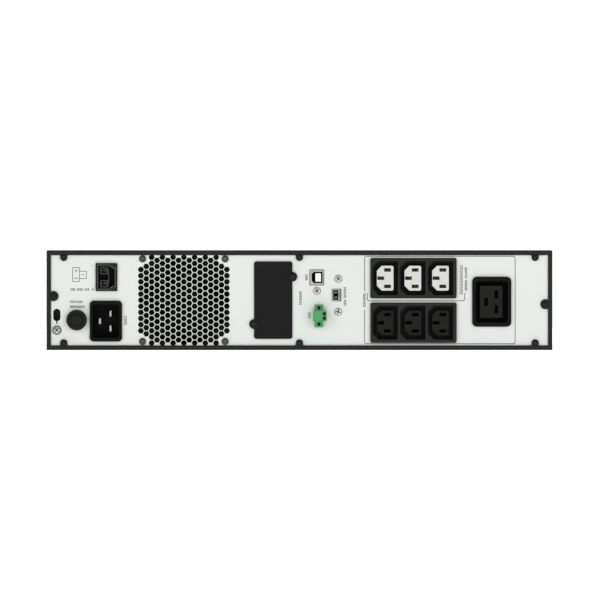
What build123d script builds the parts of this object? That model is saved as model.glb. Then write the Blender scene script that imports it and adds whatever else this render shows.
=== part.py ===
"""Two-unit rack-mount uninterruptible power supply: sockets at the rear, battery drawer at the front.

Millimetres. Origin at the middle of the footprint, on the surface that the case stands on.
+X is to the right for someone who faces the socket panel, +Y runs from that panel to the front bezel,
+Z is up.
"""

import os
from math import cos, radians, sin

from build123d import *

os.makedirs("parts", exist_ok=True)

# ---------------------------------------------------------------- driving dimensions
WIDTH = 438.0  # over the cover, fits between 19-inch rack posts
HEIGHT = 86.5  # two rack units less clearance
DEPTH = 600.0  # sheet-metal case, rear flanges to front edge
BEZEL_DEPTH = 27.0
BUTTON_PROUD = 2.0  # the display's buttons stand this far in front of the bezels
PLUG_PROUD = 9.0  # the signal plug stands this far behind the rear flanges
SHEET = 1.2  # steel gauge of every folded part
EASE = 0.2  # gap between folded parts that slide together
RUN = 0.35  # gap around parts that move

REAR = PLUG_PROUD - (DEPTH + PLUG_PROUD + BEZEL_DEPTH + BUTTON_PROUD) / 2  # outer face of the rear flanges
FRONT = REAR + DEPTH
PANEL = REAR + SHEET  # outer face of the socket panel, behind the flanges
PANEL_IN = PANEL + SHEET
MID_Z = HEIGHT / 2
HALF = WIDTH / 2
INNER_HALF = HALF - SHEET - EASE  # half width inside the cover

FLANGE_SIDE = 3.8  # width of the folded rear edges
FLANGE_TOP = 4.3
FLANGE_BOTTOM = 4.1
TAB_RADIUS = 3.1
SIDE_TAB_RADIUS = 4.4
TAB_DROP = 6.3  # screw centre from the top or bottom edge
TAB_XS = (-204.1, 0.0, 204.1)
SIDE_TABS = ((-213.0, 46.7), (213.0, 39.7))  # x, z
SCREW_HOLE = 1.65
SHANK = 1.5

BAY_SPLIT = 97.0  # battery bay lies at smaller x, display end at larger x
BAY_DEPTH = 322.0
TRAY_X = (-HALF + 5.0, BAY_SPLIT - 6.0)  # outer faces of the battery drawer
tray_mid = sum(TRAY_X) / 2
tray_wide = TRAY_X[1] - TRAY_X[0]
DRAWER_TOP = 70.2  # top of the drawer's way through the front plate
THUMB_XS = (TRAY_X[0] + 8.0, TRAY_X[1] - 8.0)
THUMB_Z = 76.5
DISPLAY_X = (BAY_SPLIT + HALF) / 2

FAN_X = -100.1
FAN_SIZE = 80.0
FAN_DEPTH = 25.0
FAN_PITCH = 71.5  # between fixing holes
FAN_BORE = 38.0
HEX_COLUMN = 4.65  # hexagon grille pitch across, and down a column
HEX_ROW = 5.30
HEX_FLATS = 4.5

EAR_HOLES_Y = (FRONT - 60.0, FRONT - 20.0)  # rack-ear fixing holes in each side
EAR_HOLES_Z = (23.25, 63.25)
EAR_HOLE = 2.1


def rear(y):
    """Sketch plane at a given y, seen from behind: local x is +X, local y is +Z, normal is -Y."""
    return Plane.XZ.offset(-y)


def front(y):
    """Sketch plane at a given y, seen from the front: normal is +Y, local x is -X, local y is +Z."""
    return Plane(origin=(0, y, 0), x_dir=(-1, 0, 0), z_dir=(0, 1, 0))


def save(piece, name):
    """Labels a finished sub-part and writes it as its own node."""
    piece.part.label = name
    export_step(piece.part, f"parts/{name}.step")


def earth_side_outline(width, height, cut, corner):
    """Socket outline: the two corners on the earth side are cut off, the other two are rounded."""
    with BuildSketch() as outline:
        Rectangle(width, height)
        chamfer(outline.vertices().group_by(Axis.X)[0], cut)
        fillet(outline.vertices().group_by(Axis.X)[-1], corner)
    return outline.sketch


def pan_screw(head_radius, head_height, length, cross=True):
    """Pan-head screw along Y: the seat is at y = 0, the head stands out towards -Y."""
    recess = head_height * 0.6
    arm = head_radius * 0.62
    slit = head_radius * 0.2
    with BuildPart() as screw:
        with BuildSketch(rear(0)):
            Circle(head_radius)
        extrude(amount=head_height)
        fillet(screw.edges().filter_by(GeomType.CIRCLE).sort_by(Axis.Y)[0], head_height * 0.6)
        with BuildSketch(rear(0)):
            Circle(SHANK)
        extrude(amount=-length)
        with BuildSketch(rear(-head_height)) as drive:
            Rectangle(2 * arm, 2 * slit, rotation=20)
            if cross:
                Rectangle(2 * slit, 2 * arm, rotation=20)
        extrude(amount=-recess, mode=Mode.SUBTRACT)
    return screw.part


def thumb_screw(radius, height, length):
    """Knurled captive screw along Y: the seat is at y = 0, the head stands out towards +Y."""
    with BuildPart() as screw:
        with BuildSketch(front(0)) as grip:
            Circle(radius)
            with PolarLocations(radius + 0.25, 18):
                Circle(0.55, mode=Mode.SUBTRACT)
        extrude(amount=height)
        with BuildSketch(front(height)):
            Rectangle(2 * radius + 1, 1.2)
        extrude(amount=-1.2, mode=Mode.SUBTRACT)
        with BuildSketch(front(0)):
            Circle(SHANK)
        extrude(amount=-length)
    return screw.part


# ---------------------------------------------------------------- folded case
with BuildPart() as base_pan:
    bottom_half = INNER_HALF
    with BuildSketch(rear(REAR)) as channel:
        with Locations((0, 7)):
            Rectangle(2 * bottom_half, 14)
        with Locations((0, 7 + SHEET)):
            Rectangle(2 * (bottom_half - SHEET), 14, mode=Mode.SUBTRACT)
    extrude(amount=-DEPTH)
    # clears the cover's folded rear edges
    with BuildSketch(rear(REAR)):
        for side in (-1, 1):
            with Locations((side * HALF, 0)):
                Rectangle(2 * (FLANGE_SIDE + EASE), 40)
    extrude(amount=-(SHEET + EASE), mode=Mode.SUBTRACT)
    with BuildSketch(rear(REAR)) as rear_edge:
        with Locations((0, FLANGE_BOTTOM / 2)):
            Rectangle(2 * (HALF - FLANGE_SIDE - EASE), FLANGE_BOTTOM)
        for x in TAB_XS:
            with Locations((x, TAB_DROP / 2)):
                Rectangle(2 * TAB_RADIUS, TAB_DROP)
            with Locations((x, TAB_DROP)):
                Circle(TAB_RADIUS)
        notch = [v for v in rear_edge.vertices() if abs(v.Y - FLANGE_BOTTOM) < 0.01 and abs(v.X) < HALF - 8]
        fillet(notch, 0.9)
        with Locations([(x, TAB_DROP) for x in TAB_XS]):
            Circle(SCREW_HOLE, mode=Mode.SUBTRACT)
    extrude(amount=-SHEET)
save(base_pan, "base_pan")

with BuildPart() as top_cover:
    with BuildSketch(rear(REAR)) as hood:
        with Locations((0, MID_Z)):
            Rectangle(WIDTH, HEIGHT)
        fillet(hood.vertices().group_by(Axis.Y)[-1], 1.2)
        with Locations((0, MID_Z - SHEET)):
            Rectangle(WIDTH - 2 * SHEET, HEIGHT, mode=Mode.SUBTRACT)
    extrude(amount=-DEPTH)
    # rack-ear fixing holes and air slots in both sides
    for side in (-1, 1):
        with BuildSketch(Plane.YZ.offset(side * (HALF + 1))):
            with Locations([(y, z) for y in EAR_HOLES_Y for z in EAR_HOLES_Z]):
                Circle(EAR_HOLE)
            with Locations((FRONT - 170, MID_Z)):
                with GridLocations(7.0, 26.0, 18, 2):
                    SlotOverall(20, 2.6, rotation=90)
        extrude(amount=-side * (SHEET + 2), mode=Mode.SUBTRACT)
save(top_cover, "top_cover")

# the hood's folded rear edges
with BuildPart() as cover_edges:
    with BuildSketch(rear(REAR)) as top_edge:
        with Locations((0, HEIGHT - SHEET / 2 - FLANGE_TOP / 2)):
            Rectangle(2 * (HALF - FLANGE_SIDE - EASE), FLANGE_TOP - SHEET)
        for x in TAB_XS:
            with Locations((x, HEIGHT - SHEET - (TAB_DROP - SHEET) / 2)):
                Rectangle(2 * TAB_RADIUS, TAB_DROP - SHEET)
            with Locations((x, HEIGHT - TAB_DROP)):
                Circle(TAB_RADIUS)
        notch = [v for v in top_edge.vertices()
                 if abs(v.Y - HEIGHT + FLANGE_TOP) < 0.01 and abs(v.X) < HALF - 8]
        fillet(notch, 0.9)
        with Locations([(x, HEIGHT - TAB_DROP) for x in TAB_XS]):
            Circle(SCREW_HOLE, mode=Mode.SUBTRACT)
    extrude(amount=-SHEET)
    with BuildSketch(rear(REAR)) as side_edges:
        for side in (-1, 1):
            with Locations((side * (HALF - SHEET / 2 - FLANGE_SIDE / 2), (HEIGHT - SHEET) / 2)):
                Rectangle(FLANGE_SIDE - SHEET, HEIGHT - SHEET)
        for x, z in SIDE_TABS:
            with Locations((x, z)):
                Circle(SIDE_TAB_RADIUS)
            with Locations((x, z)):
                Circle(SCREW_HOLE, mode=Mode.SUBTRACT)
        with Locations((0, MID_Z)):
            Rectangle(WIDTH - SHEET, HEIGHT, mode=Mode.INTERSECT)
    extrude(amount=-SHEET)
save(cover_edges, "cover_edges")

# ---------------------------------------------------------------- places of everything on the socket panel
SLOT_X, SLOT_W, SLOT_H = -22.7, 33.2, 67.1  # expansion-card slot cover
SLOT_EARS = ((SLOT_X + SLOT_W / 2, MID_Z + 20.3), (SLOT_X - SLOT_W / 2, MID_Z - 20.7))
SLOT_EAR = 4.2

OUTLET_X, OUTLET_W, OUTLET_H = 98.7, 74.8, 35.0
OUTLET_ROWS = (62.3, 23.7)  # block centres, upper and lower
OUTLET_SHIFT, OUTLET_PITCH = -0.5, 23.95
OUTLET_WELL = (21.7, 29.3)
OUTLET_INSERT = (14.5, 21.6)

BIG_OUT_X, BIG_OUT_Z, BIG_OUT_W, BIG_OUT_H = 166.5, 41.9, 33.9, 43.4
INLET_X, INLET_Z, INLET_W, INLET_H = -167.6, 25.1, 28.0, 35.4
BATT_X, BATT_Z, BATT_W, BATT_H = -167.1, 63.2, 18.9, 24.3
BREAKER_X, BREAKER_Z, BREAKER_RADIUS = -192.9, 26.0, 9.0
KEY_X, KEY_Z, KEY_W, KEY_H = -210.1, 30.4, 6.2, 10.8
GROUND_X, GROUND_Z = -210.0, 17.3
USB_X, USB_Z, USB_W, USB_H = 15.0, 62.9, 12.2, 13.2
JACK_X, JACK_Z, JACK_W, JACK_H = 32.2, 47.7, 7.4, 9.9
TERM_X, TERM_Z = 16.9, 29.6
TERM_W, TERM_H = 6.9, 18.9
PORT_DEPTH = 15.5  # the signal ports reach this far behind the panel's face
COMM_SCREWS = ((15.1, 51.3), (33.6, 61.7), (33.6, 33.1))
FLANGE_PROUD = 2.2  # socket flanges stand this far off the panel
CUT = 1.6  # a socket's body is this much smaller than its flange, all round

SOCKETS = [(OUTLET_X, z, OUTLET_W, OUTLET_H) for z in OUTLET_ROWS]
SOCKETS += [
    (BIG_OUT_X, BIG_OUT_Z, BIG_OUT_W, BIG_OUT_H),
    (INLET_X, INLET_Z, INLET_W, INLET_H),
    (BATT_X, BATT_Z, BATT_W, BATT_H),
]

fan_screw_places = [(FAN_X + sx * FAN_PITCH / 2, MID_Z + sz * FAN_PITCH / 2)
                    for sx in (-1, 1) for sz in (-1, 1)]


def grille_places():
    """Centres of the hexagons: long columns, with the four corners left out for the fan screws."""
    places = []
    for column in range(-8, 9):
        rows = 15 if column % 2 == 0 else 14
        if abs(column) == 8:
            rows = 11
        if abs(column) == 7:
            rows = 12
        for row in range(rows):
            places.append((FAN_X + column * HEX_COLUMN, MID_Z + (row - (rows - 1) / 2) * HEX_ROW))
    return places


GRILLE_W, GRILLE_H = 81.4, 80.6  # perforated insert, flush in the socket panel
GRILLE_GAP = 0.04
with BuildPart() as fan_grille:
    with BuildSketch(rear(PANEL)):
        with Locations((FAN_X, MID_Z)):
            Rectangle(GRILLE_W, GRILLE_H)
        with Locations(grille_places()):
            RegularPolygon(HEX_FLATS / 2, 6, major_radius=False, rotation=0, mode=Mode.SUBTRACT)
        with Locations(fan_screw_places):
            Circle(SCREW_HOLE, mode=Mode.SUBTRACT)
    extrude(amount=-SHEET)
save(fan_grille, "fan_grille")

PANEL_SPLIT = -142.5  # the socket panel butts together here, beside the grille
PANEL_GAP = 0.02
for name, side, keep in (("inlet_panel", -1, Keep.BOTTOM), ("rear_panel", 1, Keep.TOP)):
    with BuildPart() as socket_panel:
        plate_half = INNER_HALF - SHEET - EASE
        plate_top = HEIGHT - SHEET - EASE
        plate_low = SHEET + EASE
        with BuildSketch(rear(PANEL)):
            with Locations((0, (plate_top + plate_low) / 2)):
                Rectangle(2 * plate_half, plate_top - plate_low)
        extrude(amount=-10)
        with BuildSketch(rear(PANEL_IN)):
            with Locations((0, (plate_top + plate_low) / 2)):
                Rectangle(2 * (plate_half - SHEET), plate_top - plate_low - 2 * SHEET)
        extrude(amount=-12, mode=Mode.SUBTRACT)
        with BuildSketch(rear(PANEL)) as openings:
            with Locations((FAN_X, MID_Z)):
                Rectangle(GRILLE_W + GRILLE_GAP, GRILLE_H + GRILLE_GAP)
            for x, z, w, h in SOCKETS:
                with Locations((x, z)):
                    RectangleRounded(w - 2 * CUT + 2 * EASE, h - 2 * CUT + 2 * EASE, 1.5)
            with Locations((SLOT_X, MID_Z)):
                RectangleRounded(SLOT_W - 5, SLOT_H - 5, 1.5)
            with Locations((USB_X, USB_Z)):
                Rectangle(USB_W + EASE, USB_H + EASE)
            with Locations((JACK_X, JACK_Z)):
                Rectangle(JACK_W + EASE, JACK_H + EASE)
            with Locations((TERM_X, TERM_Z)):
                Rectangle(TERM_W + 0.6, TERM_H + 0.6)
            with Locations((BREAKER_X, BREAKER_Z)):
                Circle(6.4)
            with Locations((KEY_X, KEY_Z)):
                SlotOverall(KEY_H, KEY_W, rotation=90)
            with Locations((KEY_X, KEY_Z - KEY_H / 2 - 0.8)):
                Rectangle(1.2, 2.6)
            with Locations((GROUND_X, GROUND_Z)):
                Circle(SCREW_HOLE)
            with Locations(*COMM_SCREWS, *SLOT_EARS, *SIDE_TABS):
                Circle(SCREW_HOLE)
            with Locations([(x, z) for x in TAB_XS for z in (TAB_DROP, HEIGHT - TAB_DROP)]):
                Circle(SCREW_HOLE)
        extrude(amount=-SHEET, mode=Mode.SUBTRACT)
        split(bisect_by=Plane.YZ.offset(PANEL_SPLIT + side * PANEL_GAP / 2), keep=keep)
    save(socket_panel, name)

with BuildPart() as cover_screws:
    for x in TAB_XS:
        for z in (TAB_DROP, HEIGHT - TAB_DROP):
            with Locations((x, REAR, z)):
                add(pan_screw(2.75, 1.9, 6.5))
    for x, z in SIDE_TABS:
        with Locations((x, REAR, z)):
            add(pan_screw(3.1, 2.0, 6.5))
save(cover_screws, "cover_screws")

with BuildPart() as front_plate:
    with BuildSketch(front(FRONT - SHEET)):
        with Locations((0, MID_Z)):
            Rectangle(2 * (INNER_HALF - SHEET - EASE), HEIGHT - 2 * (SHEET + EASE))
        with Locations((-tray_mid, DRAWER_TOP / 2)):
            Rectangle(tray_wide + 2 * RUN, DRAWER_TOP, mode=Mode.SUBTRACT)
        with Locations([(-x, THUMB_Z) for x in THUMB_XS]):
            Circle(SHANK + RUN, mode=Mode.SUBTRACT)
        with Locations((-DISPLAY_X, MID_Z)):
            Circle(27, mode=Mode.SUBTRACT)
            with PolarLocations(36, 4, start_angle=45):
                Circle(SCREW_HOLE, mode=Mode.SUBTRACT)
    extrude(amount=SHEET)
save(front_plate, "front_plate")

with BuildPart() as bay_divider:
    bay_back = FRONT - BAY_DEPTH
    bay_left = -INNER_HALF + SHEET + EASE
    with BuildSketch(Plane.XY.offset(SHEET)):
        with Locations(((bay_left + BAY_SPLIT + SHEET) / 2, bay_back - SHEET / 2)):
            Rectangle(BAY_SPLIT + SHEET - bay_left, SHEET)
        with Locations((BAY_SPLIT + SHEET / 2, (bay_back + FRONT - SHEET - EASE) / 2)):
            Rectangle(SHEET, FRONT - SHEET - EASE - bay_back)
    extrude(amount=HEIGHT - 2 * SHEET - EASE)
    with BuildSketch(rear(bay_back - SHEET)):
        with Locations((-60, MID_Z)):
            with GridLocations(14, 12, 16, 5):
                SlotOverall(9, 5)
    extrude(amount=-2 * SHEET, mode=Mode.SUBTRACT)
save(bay_divider, "bay_divider")

# ---------------------------------------------------------------- fan
FAN_Y = PANEL_IN + 0.1  # face of the fan frame, against the panel
HUB = 17.0
BASE_T = 2.2  # motor base and struts, at the inner end

with BuildPart() as fan_frame:
    with BuildSketch(rear(FAN_Y)):
        with Locations((FAN_X, MID_Z)):
            RectangleRounded(FAN_SIZE, FAN_SIZE, 4)
            Circle(FAN_BORE, mode=Mode.SUBTRACT)
    extrude(amount=-FAN_DEPTH)
    with BuildSketch(rear(FAN_Y + FAN_DEPTH - BASE_T)):
        with Locations((FAN_X, MID_Z)):
            Circle(HUB + 0.5)
            with PolarLocations(HUB + 11, 4, start_angle=30):
                Rectangle(24, 3.2)
            Circle(1.2, mode=Mode.SUBTRACT)
    extrude(amount=-BASE_T)
    with BuildSketch(rear(FAN_Y + 9)):
        with Locations((FAN_X, MID_Z)):
            Circle(5.0)
            Circle(3.5, mode=Mode.SUBTRACT)
    extrude(amount=-(FAN_DEPTH - BASE_T - 9))
    with BuildSketch(rear(FAN_Y)):
        with Locations(fan_screw_places):
            Circle(1.75)
    extrude(amount=-FAN_DEPTH, mode=Mode.SUBTRACT)
    # the frame's sides are cut back between its corner posts
    with BuildSketch(rear(FAN_Y + 4)):
        with Locations((FAN_X, MID_Z)):
            Rectangle(FAN_SIZE + 2, FAN_SIZE + 2)
            Circle(FAN_BORE + 1.4, mode=Mode.SUBTRACT)
            with PolarLocations(FAN_PITCH / 2 * 2**0.5, 4, start_angle=45):
                Circle(7.2, mode=Mode.SUBTRACT)
    extrude(amount=-(FAN_DEPTH - 8), mode=Mode.SUBTRACT)
save(fan_frame, "fan_frame")

with BuildPart() as fan_bearing:
    with BuildSketch(rear(FAN_Y + 9.5)):
        with Locations((FAN_X, MID_Z)):
            Circle(3.5)
            Circle(1.55, mode=Mode.SUBTRACT)
    extrude(amount=-(FAN_DEPTH - BASE_T - 10))
save(fan_bearing, "fan_bearing")

with BuildPart() as fan_shaft:
    with BuildSketch(rear(FAN_Y + 3.2)):
        with Locations((FAN_X, MID_Z)):
            Circle(1.5)
    extrude(amount=-(FAN_DEPTH - BASE_T - 4.2))
save(fan_shaft, "fan_shaft")

BLADE_ROOT, BLADE_TIP = 12.0, 35.2
with BuildPart() as blade:
    for distance, chord, pitch in ((BLADE_ROOT, 17.0, 52), (24.0, 18.5, 43), (BLADE_TIP, 19.5, 34)):
        with BuildSketch(Plane.YZ.offset(distance)):
            Rectangle(chord, 1.5, rotation=pitch)
    loft()

with BuildPart() as fan_rotor:
    hub_mid = FAN_Y + 2.5 + 8.2
    with BuildSketch(rear(FAN_Y + 1.6)) as hub:
        with Locations((FAN_X, MID_Z)):
            Circle(HUB)
    extrude(amount=-17.5)
    fillet(fan_rotor.edges().filter_by(GeomType.CIRCLE).sort_by(Axis.Y)[0], 1.5)
    with Locations(Plane(origin=(FAN_X, hub_mid, MID_Z), x_dir=(1, 0, 0), z_dir=(0, -1, 0))):
        with PolarLocations(0, 7):
            add(blade.part)
    with BuildSketch(rear(FAN_Y + 3.2)):
        with Locations((FAN_X, MID_Z)):
            Circle(HUB - 1.8)
    extrude(amount=-20, mode=Mode.SUBTRACT)
    with BuildSketch(rear(FAN_Y + 3.2)):
        with Locations((FAN_X, MID_Z)):
            Circle(HUB - 1.8)
    extrude(amount=-1.4)
    with BuildSketch(rear(FAN_Y + 3.2)):
        with Locations((FAN_X, MID_Z)):
            Circle(1.5)
    extrude(amount=-4, mode=Mode.SUBTRACT)
save(fan_rotor, "fan_rotor")

with BuildPart() as fan_screws:
    for x, z in fan_screw_places:
        with Locations((x, PANEL, z)):
            add(pan_screw(3.12, 2.0, 12))
save(fan_screws, "fan_screws")

# ---------------------------------------------------------------- expansion-card slot
with BuildPart() as slot_cover:
    with BuildSketch(rear(PANEL)) as lid:
        with Locations((SLOT_X, MID_Z)):
            RectangleRounded(SLOT_W, SLOT_H, 2.2)
        with Locations(SLOT_EARS):
            Circle(SLOT_EAR)
        with Locations(SLOT_EARS):
            Circle(SCREW_HOLE, mode=Mode.SUBTRACT)
    extrude(amount=1.2)
save(slot_cover, "slot_cover")

with BuildPart() as slot_cover_screws:
    for x, z in SLOT_EARS:
        with Locations((x, PANEL - 1.2, z)):
            add(pan_screw(3.4, 2.3, 7))
save(slot_cover_screws, "slot_cover_screws")

with BuildPart() as card_guides:
    for z_low in (SHEET + 2.2, HEIGHT - SHEET - 8.2):
        with BuildSketch(rear(PANEL_IN + 10)):
            with Locations((SLOT_X, z_low + 3)):
                Rectangle(9, 6)
            opening = 5 if z_low < MID_Z else 1
            with Locations((SLOT_X, z_low + opening)):
                Rectangle(2.2, 4, mode=Mode.SUBTRACT)
        extrude(amount=-120)
save(card_guides, "card_guides")

# ---------------------------------------------------------------- external battery socket
WELL_DEPTH = 17.0


def battery_well():
    """Cavity outline: two corners on one side are cut back so that the plug fits one way round."""
    with BuildSketch() as well:
        with BuildLine():
            Polyline((-7.4, 10.2), (1.6, 10.2), (5.6, 7.8), (7.4, 7.8), (7.4, -7.8), (5.6, -7.8),
                     (1.6, -10.2), (-7.4, -10.2), close=True)
        make_face()
    return well.sketch


with BuildPart() as battery_socket:
    with BuildSketch(rear(PANEL)):
        with Locations((BATT_X, BATT_Z)):
            RectangleRounded(BATT_W, BATT_H, 0.8)
    extrude(amount=1.4)
    with BuildSketch(rear(PANEL)):
        with Locations((BATT_X, BATT_Z)):
            RectangleRounded(BATT_W - 2 * CUT, BATT_H - 2 * CUT, 1.2)
    extrude(amount=-(WELL_DEPTH + 2))
    with BuildSketch(rear(PANEL - 1.4)):
        with Locations((BATT_X, BATT_Z)):
            add(battery_well())
    extrude(amount=-WELL_DEPTH, mode=Mode.SUBTRACT)
    # two shrouded contact towers, joined by a polarising wall
    with BuildSketch(rear(PANEL - 0.6)) as towers:
        for side in (-1, 1):
            with Locations((BATT_X - 2.1, BATT_Z + side * 5.7)):
                RectangleRounded(7.6, 6.4, 1.4)
                Rectangle(4.2, 3.9, mode=Mode.SUBTRACT)
        with Locations((BATT_X + 1.9, BATT_Z)):
            Rectangle(0.9, 9)
    extrude(amount=-(WELL_DEPTH - 0.8))
save(battery_socket, "battery_socket")

with BuildPart() as battery_socket_contacts:
    with BuildSketch(rear(PANEL + 3)):
        for side in (-1, 1):
            with Locations((BATT_X - 2.1, BATT_Z + side * 5.7)):
                Rectangle(3.0, 1.6)
    extrude(amount=-(WELL_DEPTH - 4.4))
save(battery_socket_contacts, "battery_socket_contacts")

# ---------------------------------------------------------------- mains inlet
INLET_DEPTH = 19.0
INLET_CAVITY = (22.6, 28.6)
LINE_PINS = ((INLET_X + 3.9, INLET_Z + 6.5), (INLET_X + 3.9, INLET_Z - 6.5))
EARTH_PIN = (INLET_X - 5.3, INLET_Z)
with BuildPart() as inlet_housing:
    with BuildSketch(rear(PANEL)):
        with Locations((INLET_X, INLET_Z)):
            RectangleRounded(INLET_W, INLET_H, 3.4)
    extrude(amount=FLANGE_PROUD)
    fillet(inlet_housing.faces().sort_by(Axis.Y)[0].edges(), 0.5)
    with BuildSketch(rear(PANEL)):
        with Locations((INLET_X, INLET_Z)):
            RectangleRounded(INLET_W - 2 * CUT, INLET_H - 2 * CUT, 1.5)
    extrude(amount=-INLET_DEPTH)
    with BuildSketch(rear(PANEL - FLANGE_PROUD)):
        with Locations((INLET_X, INLET_Z)):
            RectangleRounded(*INLET_CAVITY, 2.4)
    extrude(amount=-INLET_DEPTH, mode=Mode.SUBTRACT)
    rim = inlet_housing.faces().sort_by(Axis.Y)[0].inner_wires()[0].edges()
    chamfer(rim, 1.1)
save(inlet_housing, "inlet_housing")

with BuildPart() as inlet_pins:
    with BuildSketch(rear(PANEL + 0.8)):
        with Locations(*LINE_PINS, EARTH_PIN):
            RectangleRounded(2.0, 5.9, 0.6)
    extrude(amount=-(INLET_DEPTH - FLANGE_PROUD - 0.8))
save(inlet_pins, "inlet_pins")

# ---------------------------------------------------------------- push-to-reset circuit breaker
RESET_TRAVEL = 1.5
RESET_RADIUS = 4.9
with BuildPart() as breaker_body:
    with BuildSketch(rear(PANEL_IN)):
        with Locations((BREAKER_X, BREAKER_Z)):
            RectangleRounded(15, 30, 1.5)
    extrude(amount=-27)
    with BuildSketch(rear(PANEL_IN)):
        with Locations((BREAKER_X, BREAKER_Z)):
            Circle(6.3)
    extrude(amount=SHEET + 4.2)
    with BuildSketch(rear(PANEL - 4.2)):
        with Locations((BREAKER_X, BREAKER_Z)):
            Circle(RESET_RADIUS + RUN)
    extrude(amount=-14, mode=Mode.SUBTRACT)
    with BuildSketch(rear(PANEL_IN + 27)):
        with Locations((BREAKER_X, BREAKER_Z + 9), (BREAKER_X, BREAKER_Z - 9)):
            Rectangle(6.3, 0.8)
    extrude(amount=-8)
save(breaker_body, "breaker_body")

with BuildPart() as breaker_nut:
    with BuildSketch(rear(PANEL)):
        with Locations((BREAKER_X, BREAKER_Z)):
            Circle(BREAKER_RADIUS)
            with PolarLocations(BREAKER_RADIUS + 0.35, 30):
                Circle(0.6, mode=Mode.SUBTRACT)
            Circle(6.35, mode=Mode.SUBTRACT)
    extrude(amount=3.6)
save(breaker_nut, "breaker_nut")

with BuildPart() as breaker_button:
    with BuildSketch(rear(PANEL - 4.2 - RESET_TRAVEL - 0.6)):
        with Locations((BREAKER_X, BREAKER_Z)):
            Circle(RESET_RADIUS)
    extrude(amount=-13)
    crown = breaker_button.faces().sort_by(Axis.Y)[0].edges()
    fillet(crown, 0.6)
save(breaker_button, "breaker_button")

# ---------------------------------------------------------------- earth stud
WASHER = 0.6
with BuildPart() as ground_screw:
    # toothed washer, captive under the head
    with BuildSketch(rear(PANEL)):
        with Locations((GROUND_X, GROUND_Z)):
            Circle(3.6)
            with PolarLocations(3.9, 14):
                Rectangle(1.1, 0.8, rotation=18)
            Circle(SCREW_HOLE, mode=Mode.SUBTRACT)
    extrude(amount=WASHER)
    with Locations((GROUND_X, PANEL - WASHER, GROUND_Z)):
        add(pan_screw(3.3, 2.2, 7))
save(ground_screw, "ground_screw")

# ---------------------------------------------------------------- signal ports
with BuildPart() as usb_shell:
    with BuildSketch(rear(PANEL - 0.5)):
        with Locations((USB_X, USB_Z)):
            Rectangle(USB_W, USB_H)
    extrude(amount=-(PORT_DEPTH + 0.5))
    with BuildSketch(rear(PANEL - 0.5)):
        with Locations((USB_X + 0.3, USB_Z)):
            add(earth_side_outline(9.4, 9.9, 1.9, 0.4))
    extrude(amount=-13, mode=Mode.SUBTRACT)
save(usb_shell, "usb_shell")

with BuildPart() as usb_tongue:
    with BuildSketch(rear(PANEL + 0.6)):
        with Locations((USB_X + 1.2, USB_Z)):
            Rectangle(4.8, 7.2)
    extrude(amount=-(13 - 1.1))
save(usb_tongue, "usb_tongue")

with BuildPart() as jack_housing:
    with BuildSketch(rear(PANEL - 0.4)):
        with Locations((JACK_X, JACK_Z)):
            Rectangle(JACK_W, JACK_H)
    extrude(amount=-(PORT_DEPTH + 0.4))
    with BuildSketch(rear(PANEL - 0.4)):
        with Locations((JACK_X - 0.8, JACK_Z)):
            Rectangle(5.0, 8.8)
        with Locations((JACK_X + 2.2, JACK_Z)):
            Rectangle(1.2, 4.0)
    extrude(amount=-11, mode=Mode.SUBTRACT)
save(jack_housing, "jack_housing")

with BuildPart() as jack_contacts:
    with BuildSketch(rear(PANEL + 2.6)):
        with Locations((JACK_X - 3.0, JACK_Z)):
            with GridLocations(1, 1.2, 1, 6):
                Rectangle(0.6, 0.5)
    extrude(amount=-8)
save(jack_contacts, "jack_contacts")

with BuildPart() as comm_screws:
    for x, z in COMM_SCREWS:
        with Locations((x, PANEL, z)):
            add(pan_screw(3.35, 1.8, 8))
save(comm_screws, "comm_screws")

# pluggable two-pole terminal: header in the panel, plug pushed into it
TONGUE = 6.5
PLUG_SLIDE = 14.0
PLUG_BODY_W, PLUG_BODY_H = 11.7, 8.9
POLES_Z = (TERM_Z - 1.9, TERM_Z + 1.9)
with BuildPart() as terminal_header:
    with BuildSketch(rear(PANEL)):
        with Locations((TERM_X, TERM_Z)):
            Rectangle(TERM_W, TERM_H)
    extrude(amount=-PORT_DEPTH)
    with BuildSketch(rear(PANEL)):
        with Locations((TERM_X, TERM_Z)):
            Rectangle(5.6, 8.4)
    extrude(amount=-9, mode=Mode.SUBTRACT)
    with BuildSketch(rear(PANEL)):
        with Locations((TERM_X, TERM_Z + 7.1), (TERM_X, TERM_Z - 7.1)):
            Circle(1.5)
    extrude(amount=-7, mode=Mode.SUBTRACT)
save(terminal_header, "terminal_header")

with BuildPart() as terminal_pins:
    with BuildSketch(rear(PANEL + 2.5)):
        with Locations([(TERM_X, z) for z in POLES_Z]):
            Rectangle(1.0, 1.0)
    extrude(amount=-6.5)
save(terminal_pins, "terminal_pins")

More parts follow.
